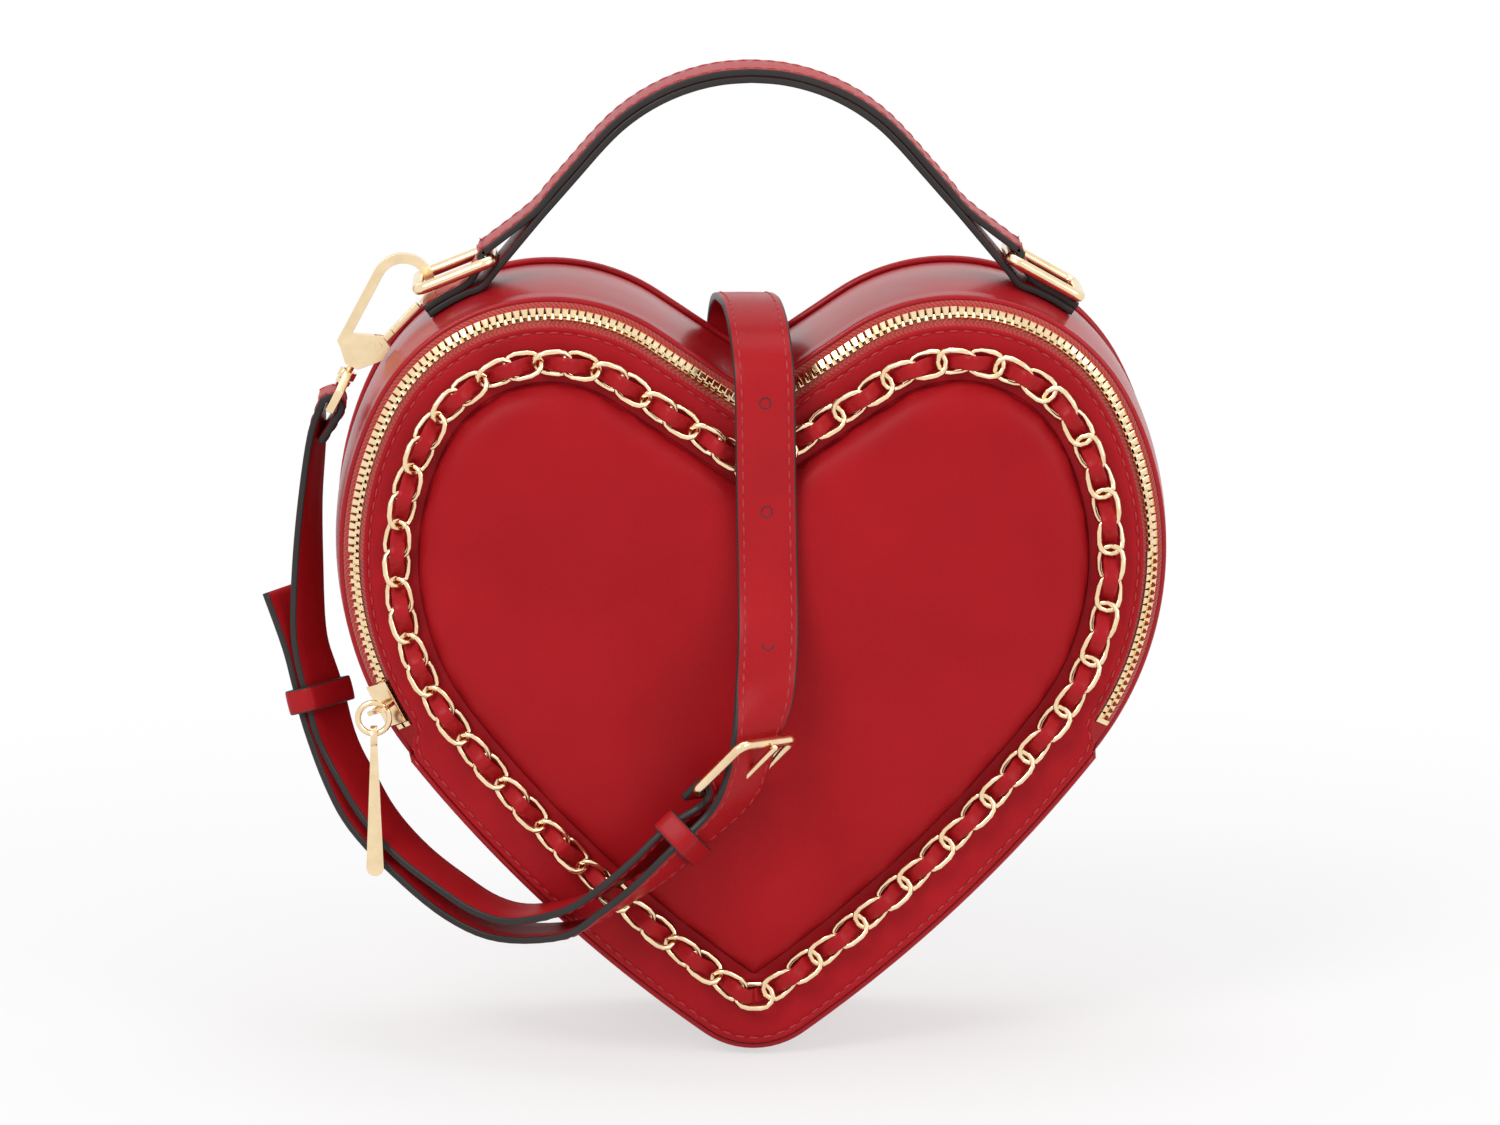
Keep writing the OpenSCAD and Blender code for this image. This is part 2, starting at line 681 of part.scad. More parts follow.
// A band through rings of four corners each, in flat triangles
module ribbon_from(rings) {
  n = len(rings);
  function at(i, j) = 4*i + j % 4;
  sides = [for (i = [0 : n - 2]) for (j = [0 : 3]) for (half = [0, 1])
    half == 0 ? [at(i, j), at(i, j + 1), at(i + 1, j + 1)] : [at(i, j), at(i + 1, j + 1), at(i + 1, j)]];
  polyhedron(points = [for (r = rings) for (p = r) p],
    faces = concat(sides, [[3, 2, 1], [3, 1, 0], [4*n - 4, 4*n - 3, 4*n - 2],
      [4*n - 4, 4*n - 2, 4*n - 1]]), convexity = 10);
}

function lace_ring(s) = [lace_corner(s, -1, -1), lace_corner(s, 1, -1), lace_corner(s, 1, 1),
  lace_corner(s, -1, 1)];
lace_steps = 6;

module lace_upper() {
  end = fold_len - 0.9;
  n = lace_steps*links_down;
  color(leather_c) ribbon_from([for (i = [-n : n]) lace_ring(end*i/n)]);
}

module lace_lower() {
  start = fold_len + 0.9;
  n = lace_steps*links_rest;
  span = half_len - start;
  color(leather_c) ribbon_from(concat(
    [for (i = [0 : n]) lace_ring(start + span*i/n)],
    [for (i = [n - 1 : -1 : 0]) lace_ring(-start - span*i/n)]));
}

// Puts a shape with its x, y and z along three given directions
function unit(v) = v/norm(v);
module set_along(at, x, y, z) {
  translate(at) rotate([atan2(y[2], z[2]), -asin(x[2]), atan2(x[1], x[0])]) children();
}

// Handle, in two layers
arch_c = notch_h + arch_rise - arch_r;
leg_at = [arch_r*sin(arch_a), arch_c + arch_r*cos(arch_a)];
leg_dir = [cos(arch_a), -sin(arch_a)];
leg_end = leg_at + leg_l*leg_dir;
tilt_z = leg_end[1] + handle_w/2;

module handle_layer(t0, t1) {
  translate([0, 0, arch_c]) rotate([90, 0, 0]) rotate([0, 0, 90 - arch_a])
    rotate_extrude(angle = 2*arch_a, $fn = round_fn) section(arch_r + t0, arch_r + t1, -handle_w/2, handle_w/2);
  both() translate([leg_at[0], 0, leg_at[1]]) rotate([0, arch_a, 0])
    translate([-0.05, -handle_w/2, t0]) cube([2*leg_l, handle_w, t1 - t0]);
}

// Keeps what lies above the handle's tilt axis, with a round lower end about it
module round_end() {
  intersection() {
    children();
    union() {
      translate([-big/2, -big/2, tilt_z]) cube(big);
      translate([-big/2, 0, tilt_z]) rotate([0, 90, 0]) cylinder(r = handle_w/2, h = big, $fn = round_fn);
    }
  }
}

module handle_outer_layer() {
  color(leather_c) round_end() handle_layer(0.02, handle_t);
}

module handle_inner_layer() {
  color(edge_c) round_end() handle_layer(-handle_t, 0);
}

tab_o = gusset_out + gusset_bulge + 0.1;
tab_top_o = tab_o + 2*handle_t;
curl_room = ring_wire_r + 0.3;
curl_r = curl_room + handle_t;
curl_a = 75.5;
tab_end_a = 54;
ring_at = lobe_c + (lobe_r + tab_top_o + curl_r - 0.1)*dir(curl_a);

module handle_tab(end_a) {
  curl_at = [ring_at[0], handle_w/2, ring_at[1]];
  difference() {
    union() {
      arc_run(lobe_c, lobe_r, end_a, curl_a + 2) section(tab_o, tab_top_o, -handle_w/2, handle_w/2);
      translate(curl_at) rotate([90, 0, 0]) cylinder(r = curl_r, h = handle_w, $fn = small_fn);
      // Stub that carries on the handle's leg
      difference() {
        translate([leg_at[0], 0, leg_at[1]]) rotate([0, arch_a, 0])
          translate([leg_l/2, -handle_w/2, -handle_t])
            cube([leg_l/2 + norm(ring_at - leg_end), handle_w, 2*handle_t]);
        translate([-big/2, 0, tilt_z]) rotate([0, 90, 0])
          cylinder(r = handle_w/2 + clear, h = big, $fn = round_fn);
        translate([-big/2, -big/2, tilt_z]) cube(big);
      }
    }
    translate(curl_at + [0, eps, 0]) rotate([90, 0, 0])
      cylinder(r = curl_room, h = handle_w + 2*eps, $fn = small_fn);
    // Nothing of the leg runs on past the curl into the lobe
    arc_run(lobe_c, lobe_r, tab_end_a - 10, a_start) section(-lobe_r/2, tab_o, -handle_w, handle_w);
  }
}

// The left tab is the shorter one, clear of the snap hook
module handle_tab_left() {
  color(edge_c) mirror([1, 0, 0]) handle_tab(tab_end_a + 4.5);
}

module handle_tab_right() {
  color(edge_c) handle_tab(tab_end_a);
}

// Oblong rings at the ends of the handle
ring_w = 22;
ring_round = 2.6;
ring_lean_left = 21.7;
ring_lean_right = 29.5;

// A wire frame: x runs from its near bar to its far one, y across
module wire_frame(long, wide, round_r, wire) {
  for (side = [-1, 1]) {
    translate([round_r, side*wide/2, 0]) rotate([0, 90, 0])
      cylinder(r = wire, h = long - 2*round_r, $fn = small_fn);
    translate([side > 0 ? long : 0, -wide/2 + round_r, 0]) rotate([-90, 0, 0])
      cylinder(r = wire, h = wide - 2*round_r, $fn = small_fn);
  }
  for (corner = [[0, 0, 180], [1, 0, -90], [1, 1, 0], [0, 1, 90]])
    translate([round_r + corner[0]*(long - 2*round_r), (corner[1] - 0.5)*(wide - 2*round_r), 0])
      rotate([0, 0, corner[2]]) rotate_extrude(angle = 90, $fn = small_fn)
        translate([round_r, 0]) circle(wire, $fn = small_fn);
}

module ring_shape() {
  wire_frame(ring_l, ring_w, ring_round, ring_wire_r);
}

module ring_left() {
  color(gold_c) mirror([1, 0, 0]) translate([ring_at[0], 0, ring_at[1]])
    rotate([0, ring_lean_left, 0]) ring_shape();
}

module ring_right() {
  color(gold_c) translate([ring_at[0], 0, ring_at[1]])
    rotate([0, ring_lean_right, 0]) ring_shape();
}

// Snap hooks. In a hook's own plane, x runs from the swivel to the loop's top
hook_arc_at = [17.5, 1.9];
hook_arc_r = 7.9;
hook_bar = 2.4;
hook_pivot = [1.5, 3.6];
hook_nose = [15.7, 7.6];
hook_pin_r = 0.9;
eye_bar_x = -16.3;
eye_top_x = -8.3;
eye_wall = 2.2;
eye_w = strap_w + 2.4;
eye_turn = 4.6;

module hook_plan() {
  inner = hook_arc_r - hook_bar;
  // Loop, open on the gate's side below the nose
  difference() {
    translate(hook_arc_at) circle(hook_arc_r, $fn = small_fn);
    translate(hook_arc_at) circle(inner, $fn = small_fn);
    translate([0, hook_arc_at[1] - 3.6]) square([hook_nose[0], 4*hook_arc_r]);
    translate([hook_arc_at[0] - 2*hook_arc_r, hook_arc_at[1] - hook_arc_r])
      square([2*hook_arc_r, hook_arc_r]);
  }
  // Straight bar and the body round the pivot
  translate([-2, hook_arc_at[1] - hook_arc_r]) square([hook_arc_at[0] + 2, hook_bar]);
  polygon([[-6, -1.7], [-6, 1.7], [-1, 6.2], [2.6, 6.2], [4.2, 3.2], [1.2, -3.8],
    [-2, hook_arc_at[1] - hook_arc_r], [-3.2, -4.4]]);
}

module hook_body() {
  difference() {
    translate([0, hook_t/2, 0]) rotate([90, 0, 0]) linear_extrude(hook_t) hook_plan();
    // Slot that the gate's root turns in
    translate([0, gate_root_t/2 + clear, 0]) rotate([90, 0, 0]) linear_extrude(gate_root_t + 2*clear) {
      translate(hook_pivot) circle(gate_root_r + clear, $fn = small_fn);
      translate(hook_pivot + [0, -gate_root_r - clear]) square([8, 3*gate_root_r]);
    }
    translate([hook_pivot[0], hook_t, hook_pivot[1]]) rotate([90, 0, 0])
      cylinder(r = rivet_r, h = 2*hook_t, $fn = small_fn);
  }
  // Swivel pin with its head below the eye
  translate([eye_top_x - eye_wall/2 - clear, 0, 0]) rotate([0, 90, 0])
    cylinder(r = hook_pin_r, h = -6 + 0.2 - (eye_top_x - eye_wall/2 - clear), $fn = small_fn);
  translate([eye_top_x - eye_wall/2 - clear - 1.2, 0, 0]) rotate([0, 90, 0])
    cylinder(r = hook_pin_r + 0.9, h = 1.2, $fn = small_fn);
}

gate_root_t = 1;
gate_root_r = 1.9;
rivet_r = 0.8;
gate_dir = unit(hook_nose - hook_pivot);
gate_l = norm(hook_nose - hook_pivot) - 0.6;

module hook_gate() {
  translate([hook_pivot[0], 0, hook_pivot[1]]) rotate([0, -atan2(gate_dir[1], gate_dir[0]), 0])
    difference() {
      union() {
        translate([0, gate_root_t/2, 0]) rotate([90, 0, 0])
          cylinder(r = gate_root_r, h = gate_root_t, $fn = small_fn);
        translate([0, -gate_root_t/2, -0.9]) cube([gate_l - 1, gate_root_t, 1.8]);
        translate([5, -hook_t/2 + 0.2, -0.9]) cube([gate_l - 5, hook_t - 0.4, 1.8]);
      }
      translate([0, hook_t, 0]) rotate([90, 0, 0])
        cylinder(r = rivet_r + 0.1, h = 2*hook_t, $fn = small_fn);
    }
}

module hook_rivet() {
  translate([hook_pivot[0], hook_t/2 + 0.4, hook_pivot[1]]) rotate([90, 0, 0])
    cylinder(r = rivet_r, h = hook_t + 0.8, $fn = small_fn);
}

module hook_eye() {
  difference() {
    union() {
      translate([0, 0, -eye_wall/2]) linear_extrude(eye_wall) difference() {
        polygon([[eye_top_x + eye_wall/2, -3], [eye_top_x + eye_wall/2, 3],
          [eye_bar_x + eye_turn, eye_w/2], [eye_bar_x - eye_wall/2, eye_w/2],
          [eye_bar_x - eye_wall/2, -eye_w/2], [eye_bar_x + eye_turn, -eye_w/2]]);
        polygon([[eye_top_x - eye_wall/2, -2.6], [eye_top_x - eye_wall/2, 2.6],
          [eye_bar_x + eye_turn, eye_w/2 - 0.95], [eye_bar_x + eye_wall/2, eye_w/2 - 0.95],
          [eye_bar_x + eye_wall/2, -eye_w/2 + 0.95], [eye_bar_x + eye_turn, -eye_w/2 + 0.95]]);
      }
      translate([eye_top_x - eye_wall/2, 0, 0]) rotate([0, 90, 0])
        cylinder(r = eye_wall, h = eye_wall, $fn = small_fn);
    }
    translate([eye_top_x - eye_wall, 0, 0]) rotate([0, 90, 0])
      cylinder(r = hook_pin_r + clear, h = 2*eye_wall, $fn = small_fn);
  }
}

// The left hook hangs on the far bar of the left ring
hook_x = unit([0.47, 0, 0.88]);
hook_z = unit([0.88, 0, -0.47]);
hook_y = cross(hook_z, hook_x);
ring_bar_left = [-ring_at[0] - ring_l*cos(ring_lean_left), 0, ring_at[1] - ring_l*sin(ring_lean_left)];
hook_at = ring_bar_left - (hook_arc_at[0] + 2.1)*hook_x - (hook_arc_at[1] + 3.05)*hook_z;
eye_at = hook_at + eye_bar_x*hook_x;

module left_hook_place() {
  set_along(hook_at, hook_x, hook_y, hook_z) children();
}

module hook_body_left() {
  color(gold_c) left_hook_place() hook_body();
}

module hook_gate_left() {
  color(gold_c) left_hook_place() hook_gate();
}

module hook_rivet_left() {
  color(gold_c) left_hook_place() hook_rivet();
}

module hook_eye_left() {
  color(gold_c) left_hook_place() hook_eye();
}

// Strap paths: each station is the left or near edge of the strap and the way its outer face looks
function mix(a, b, u) = a + u*(b - a);
function spline(p, i, u) =
  let(n = len(p) - 1, a = p[max(i - 1, 0)], b = p[i], c = p[min(i + 1, n)], d = p[min(i + 2, n)])
    0.5*(2*b + u*(c - a) + u*u*(2*a - 5*b + 4*c - d) + u*u*u*(3*b - a - 3*c + d));
function sample(p, steps) = concat(
  [for (i = [0 : len(p) - 2]) for (j = [0 : steps - 1]) spline(p, i, j/steps)], [p[len(p) - 1]]);
function run_along(e, i) = unit(e[min(i + 1, len(e) - 1)] - e[max(i - 1, 0)]);
function face_of(hint, t) = unit(hint - (hint*t)*t);
// Corners of the strap at each sample, its inner face at n0 and its outer face at n1
function strap_rings(stations, steps, n0, n1) =
  let(e = sample([for (s = stations) s[0]], steps), h = sample([for (s = stations) s[1]], steps))
  [for (i = [0 : len(e) - 1])
    let(t = run_along(e, i), n = face_of(h[i], t), w = cross(t, n)*strap_w)
    [e[i] + n0*n, e[i] + n1*n, e[i] + w + n1*n, e[i] + w + n0*n]];
module strap(stations, steps, n0, n1) {
  ribbon_from(strap_rings(stations, steps, n0, n1));
}

// A ring of strap folded round a bar: x along the strap, y across it, z out of its face
module strap_fold(room) {
  wide = strap_w - 0.4;
  translate([0, wide/2, 0]) rotate([90, 0, 0]) difference() {
    cylinder(r = room + strap_t - 0.1, h = wide, $fn = small_fn);
    translate([0, 0, -wide]) cylinder(r = room, h = 3*wide, $fn = small_fn);
  }
}

// Buckle: x from the hinge bar to the top bar, y from left to right, z out of the face
buckle_x = unit([45, -38, 55]);
buckle_y = unit([55, 58, -5]);
buckle_z = cross(buckle_x, buckle_y);
buckle_out = -buckle_z;
buckle_l = 19.5;
buckle_in_w = strap_w + 2.2;
buckle_at = [-8.3, -gusset_f - 25.3, 68.3];
fold_room = buckle_wire_r + 0.2;
eye_room = eye_wall/2 + 0.5;

module buckle_place() {
  set_along(buckle_at, buckle_x, buckle_y, buckle_z) children();
}

strap_half = strap_t/2;
eye_bend = eye_room + strap_half;
hinge_bend = fold_room + strap_half;
hinge_edge = buckle_at - strap_w/2*buckle_y;
eye_loop = [for (a = [-35, 10, 50, 90, 130, 165])
  [[eye_at[0] + eye_bend*cos(a), -strap_w/2, eye_at[2] + eye_bend*sin(a)], [cos(a), 0, sin(a)]]];
hinge_loop = [for (a = [90, 50, 10, -30, -70, -100])
  [hinge_edge + hinge_bend*(cos(a)*buckle_x + sin(a)*buckle_out), cos(a)*buckle_x + sin(a)*buckle_out]];
main_run = [
  [[-107.2, -7.2, 146.5], [-0.98, 0.2, 0]],
  [[-109.6, -8.5, 131], [-0.95, 0.3, 0]],
  [[-111.2, -10, 115.3], [-0.9, 0.42, 0]],
  [[-111.8, -12, 100.1], [-0.85, 0.5, 0]],
  [[-110.6, -14, 91], [-0.82, 0.56, -0.05]],
  [[-108.4, -15.6, 82.5], [-0.8, 0.58, -0.1]],
  [[-105.9, -17.5, 73.4], [-0.78, 0.56, -0.2]],
  [[-100.9, -22, 64.4], [-0.75, 0.5, -0.43]],
  [[-95.2, -26, 55.8], [-0.68, 0.4, -0.6]],
  [[-87, -32, 47.7], [-0.55, 0.3, -0.78]],
  [[-77.6, -38, 41.6], [-0.42, 0.2, -0.88]],
  [[-68.2, -43, 36.4], [-0.25, 0.12, -0.95]],
  [[-59, -47.5, 34.8], [0, 0.05, -1]],
  [[-46.8, -53, 38.5], [0.3, -0.1, -0.95]],
  [[-38, -56, 44.6], [0.5, -0.25, -0.83]],
  [[-29.6, -57.3, 52.2], [0.55, -0.4, -0.73]],
  [[-21.5, -57, 60.2], [0.5, -0.48, -0.72]],
  [hinge_edge + hinge_bend*buckle_out - 3.4*buckle_x, buckle_out]];
buckle_run = concat([[[-104.6, -strap_w/2, 145], [1, 0, 0]]], eye_loop, main_run, hinge_loop,
  [[hinge_edge - hinge_bend*buckle_out - 6*buckle_x, -buckle_out]]);
main_first = len(eye_loop) + 1;

// The tongue's hole lies a little past the hinge bar, and its far end goes on over the buckle run
tongue_lift = fold_room + strap_t + clear + strap_half + 0.8;
function by_buckle(u, out) = hinge_edge + u*buckle_x + out*buckle_out;
strap_front_f = puff_top_f + 0.4 + strap_half;
tongue_run = [
  [[-118.6, -9, 108.2], [-0.84, 0.5, 0]],
  [[-113.95, -11.6, 95.3], [-0.83, 0.55, -0.05]],
  [[-111.5, -13.6, 86], [-0.81, 0.58, -0.1]],
  [[-109, -15.5, 76.4], [-0.79, 0.56, -0.2]],
  [[-103.9, -21, 63.4], [-0.74, 0.5, -0.43]],
  [[-98, -25.7, 53.4], [-0.66, 0.4, -0.63]],
  [[-87.4, -32, 43.2], [-0.52, 0.3, -0.8]],
  [[-74.7, -38, 33.9], [-0.38, 0.15, -0.92]],
  [[-62.2, -44, 29.8], [-0.05, 0.05, -1]],
  [[-46.8, -51.5, 32], [0.3, -0.1, -0.95]],
  [[-38.1, -55.6, 38.4], [0.5, -0.25, -0.83]],
  [[-29.2, -58.9, 46.4], [0.54, -0.38, -0.75]],
  [[-20.6, -60.4, 55.4], [0.5, -0.46, -0.73]],
  [by_buckle(-0.3, tongue_lift), buckle_out],
  [by_buckle(9.5, 1.4), buckle_out + 0.35*buckle_x],
  [by_buckle(17.5, -4.6), buckle_out + 0.7*buckle_x - 0.15*buckle_y],
  [[-5, -strap_front_f - 14, fold_z + 2], [0.2, -0.9, 0.38]]];

strap_x0 = 3 - strap_w/2;
crest_z = notch_h + 20.3;
back_y = gusset_f + leather_t + 0.4 + strap_half;
back_x = strap_x0 - 6;
back_top = crest_z - 40;
long_run = concat(tongue_run, [
  [[strap_x0, -strap_front_f - 6.3, fold_z + 12.5], [0.03, -1, 0.25]],
  [[strap_x0, -strap_front_f - 1.7, fold_z + 25], [0, -1, 0.05]],
  [[strap_x0 - 0.3, -strap_front_f, fold_z + 45], [0, -1, 0]],
  [[strap_x0 - 0.5, -strap_front_f, fold_z + 60], [0, -1, 0]],
  [[strap_x0 - 0.7, -strap_front_f + 0.5, fold_z + 72], [0, -1, 0.1]],
  [[strap_x0 - 1.4, -strap_front_f + 6, crest_z - 6.5], [0, -0.8, 0.6]],
  [[strap_x0 - 2.4, -strap_front_f + 19, crest_z - 1.2], [0, -0.25, 0.97]],
  [[strap_x0 - 3.6, -strap_front_f + 36, crest_z - 0.2], [0, 0.02, 1]],
  [[strap_x0 - 5, back_y - 6.2, crest_z - 4.8], [0, 0.45, 0.89]],
  [[back_x, back_y + 2, crest_z - 16], [0, 0.95, 0.3]],
  [[back_x, back_y + 0.6, crest_z - 28], [0, 1, 0]],
  [[back_x, back_y, back_top], [0, 1, 0]]]);
steps = 3;
long_rings = strap_rings(long_run, steps, -strap_half, strap_half);
tongue_stations = len(tongue_run);
front_stations = tongue_stations + 4;

module long_strap(first, last) {
  ribbon_from([for (i = [first*steps : last*steps]) long_rings[i]]);
}

module strap_front_run() {
  color(leather_c) difference() {
    above_fold() long_strap(tongue_stations - 2, front_stations);
    for (k = [0 : 2])
      translate([strap_x0 + strap_w/2 - 0.3, 0, fold_z + 9.5 + k*hole_pitch]) rotate([90, 0, 0])
        cylinder(r = hole_d/2, h = 2*strap_front_f, $fn = small_fn/2);
  }
}

module strap_crest() {
  color(leather_c) long_strap(front_stations, len(long_run) - 1);
}

module prong_path(r) {
  for (a = [0 : 7 : 21]) rotate([0, a, 0])
    translate([1, 0, -prong_lift]) rotate([0, 90, 0]) cylinder(r = r, h = buckle_l, $fn = small_fn/2);
}

module strap_tongue_end() {
  color(leather_c) difference() {
    below_fold() long_strap(0, tongue_stations - 1);
    buckle_place() prong_path(prong_r + 0.4);
    tongue_hole();
  }
}

// The strap with a slot down its middle, from ring s to ring e
module slotted_strap(rings, s, e, slot_w) {
  n = len(rings);
  share = slot_w/strap_w/2;
  function at(i, j) = 8*i + j % 8;
  points = [for (r = rings)
    for (p = [r[0], r[1], mix(r[1], r[2], 1/2 - share), mix(r[1], r[2], 1/2 + share), r[2], r[3],
      mix(r[0], r[3], 1/2 + share), mix(r[0], r[3], 1/2 - share)]) p];
  sides = [for (i = [0 : n - 2]) for (j = [0 : 7])
    if (!((j == 2 || j == 6) && i >= s && i < e))
      for (f = quad(at(i, j), at(i, j + 1), at(i + 1, j + 1), at(i + 1, j))) f];
  walls = [for (i = [s : e - 1]) for (w = [[2, 7], [6, 3]])
    for (f = quad(at(i, w[0]), at(i, w[1]), at(i + 1, w[1]), at(i + 1, w[0]))) f];
  near_cap = [for (q = [[7, 2, 1, 0], [6, 3, 2, 7], [5, 4, 3, 6]]) for (f = quad(q[0], q[1], q[2], q[3])) f];
  far_cap = [for (q = [[0, 1, 2, 7], [7, 2, 3, 6], [6, 3, 4, 5]])
    for (f = quad(at(n - 1, q[0]), at(n - 1, q[1]), at(n - 1, q[2]), at(n - 1, q[3]))) f];
  ends = concat(quad(at(s, 2), at(s, 3), at(s, 6), at(s, 7)), quad(at(e, 7), at(e, 6), at(e, 3), at(e, 2)));
  polyhedron(points = points, faces = concat(sides, walls, near_cap, far_cap, ends), convexity = 10);
}

module strap_buckle_run() {
  n = len(buckle_rings);
  color(leather_c)
    slotted_strap(buckle_rings, n - 2 - steps*(len(hinge_loop) + 1), n - 2, prong_w + 1);
}

// Straight runs behind the body, joined by half rounds
run_gap = 5;
back_low = 40;
bight_high = 132;
fold_r = run_gap/2;

module back_fold(i, z, low) {
  translate([back_x, back_y + (i + 0.5)*run_gap, z]) mirror([0, 0, low ? 1 : 0]) rotate([0, 90, 0])
    rotate([0, 0, 90]) rotate_extrude(angle = 180, $fn = small_fn)
      section(fold_r - strap_half, fold_r + strap_half, 0, strap_w);
}

module back_straight(i, z0, z1) {
  translate([back_x, back_y + i*run_gap - strap_half, z0]) cube([strap_w, strap_t, z1 - z0]);
}

last_low = back_runs > 1 ? 96 : 60;
last_y = back_y + (back_runs - 1)*run_gap;
back_eye_at = [back_x + strap_w/2, last_y + eye_room + strap_half, last_low - 2];
back_hook_x = [0, 0, -1];
back_hook_at = back_eye_at - eye_bar_x*back_hook_x;

// Turns x down, y to the right and z to the front
module facing_down() {
  rotate([0, 90, -90]) children();
}

module strap_back_run() {
  color(leather_c) {
    if (back_runs > 1) {
      back_straight(0, back_low, back_top - clear);
      back_fold(0, back_low, true);
      back_straight(1, back_low, bight_high);
      back_fold(1, bight_high, false);
      back_straight(2, last_low - 2, bight_high);
    } else {
      back_straight(0, last_low - 2, back_top - clear);
    }
    translate(back_eye_at) facing_down() strap_fold(eye_room);
    translate([back_x, back_eye_at[1] + eye_room, last_low - 2]) cube([strap_w, strap_t, 8]);
  }
}

module right_hook_place() {
  translate(back_hook_at) rotate([0, 90, 0]) children();
}

module hook_body_right() {
  color(gold_c) right_hook_place() hook_body();
}

module hook_gate_right() {
  color(gold_c) right_hook_place() hook_gate();
}

module hook_rivet_right() {
  color(gold_c) right_hook_place() hook_rivet();
}

module hook_eye_right() {
  color(gold_c) translate(back_hook_at) facing_down() hook_eye();
}

// Buckle and keepers
prong_r = 0.8;
prong_w = 2.2;
prong_lift = buckle_wire_r + clear + prong_r;

module buckle_frame() {
  color(gold_c) buckle_place()
    wire_frame(buckle_l, buckle_in_w + 2*buckle_wire_r, 2*buckle_wire_r, buckle_wire_r);
}

module buckle_prong() {
  color(gold_c) buckle_place() {
    translate([0, prong_w/2, 0]) rotate([90, 0, 0]) difference() {
      cylinder(r = prong_lift + prong_r, h = prong_w, $fn = small_fn);
      translate([0, 0, -eps]) cylinder(r = buckle_wire_r + 0.2, h = prong_w + 2*eps, $fn = small_fn);
    }
    translate([1, 0, -prong_lift]) rotate([0, 90, 0])
      cylinder(r = prong_r, h = buckle_l, $fn = small_fn);
    translate([1 + buckle_l, 0, -prong_lift]) sphere(prong_r, $fn = small_fn);
  }
}

module tongue_hole() {
  at = long_rings[11*steps];
  t = run_along([for (r = long_rings) r[0]], 11*steps);
  w = unit(at[2] - at[1]);
  c = (at[0] + at[1] + at[2] + at[3])/4;
  set_along(c, t, w, cross(t, w)) translate([0, 0, -2*strap_t])
    cylinder(r = hole_d/2, h = 4*strap_t, $fn = small_fn/2);
}

buckle_rings = strap_rings(buckle_run, steps, -strap_half, strap_half);
function middle(r) = (r[0] + r[1] + r[2] + r[3])/4;

// A band round both straps at given samples of each
module keeper(outer_i, inner_i, room) {
  outer = long_rings[outer_i];
  inner = buckle_rings[inner_i];
  t = run_along([for (r = long_rings) middle(r)], outer_i);
  w0 = outer[2] - outer[1];
  w = unit(w0 - (w0*t)*t);
  n = cross(t, w);
  gap = (middle(inner) - middle(outer))*n;
  aside = (middle(inner) - middle(outer))*w;
  c = middle(outer) + gap/2*n + aside/2*w;
  high = abs(gap) + strap_t + 2*room;
  wide = strap_w + abs(aside) + 2*room;
  set_along(c, t, w, n) difference() {
    cube([keeper_w, wide + 2*keeper_t, high + 2*keeper_t], center = true);
    cube([2*keeper_w, wide, high], center = true);
  }
}

module keeper_fixed() {
  color(leather_dark_c) keeper(12*steps, (main_first + 16)*steps, 0.3);
}

module keeper_sliding() {
  color(leather_dark_c) keeper(2*steps + 1, (main_first + 5)*steps, 0.7);
}

back_panel();
back_board();
back_lining();
back_piping();
gusset_upper();
gusset_lower();
gusset_lining();
slip_pocket();
zip_tape_rear();
zip_teeth_rear();
zip_tape_front_ends();
zip_teeth_front_ends();
zip_stops();
zip_end_tab_left();
zip_end_tab_right();
front_panel_lower();
front_board_lower();
front_lining_lower();
front_padding_lower();
chain_lower();
lace_lower();
handle_tab_left();
handle_tab_right();
strap_buckle_run();
strap_tongue_end();
strap_crest();
strap_back_run();
keeper_fixed();
buckle_frame();
hook_eye_left();
hook_eye_right();
front_panel_upper();
front_board_upper();
front_lining_upper();
front_padding_upper();
chain_upper();
lace_upper();
zip_tape_front();
zip_teeth_front();
strap_front_run();
slider_body();
pull_ring();
pull_bar();
handle_outer_layer();
handle_inner_layer();
ring_left();
ring_right();
hook_body_left();
hook_rivet_left();
hook_gate_left();
hook_body_right();
hook_rivet_right();
hook_gate_right();
buckle_prong();
keeper_sliding();
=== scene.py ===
# %% [markdown]
# # A heart shaped purse
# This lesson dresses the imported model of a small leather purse. The CAD solids give every place
# and size; here each piece gets its soft shape, its leather, its weave, its stitches and its metal.
# We load the frame first, and measure the CAD box, because the dressed purse must stay in it.

# %% Load the frame
import json
import math

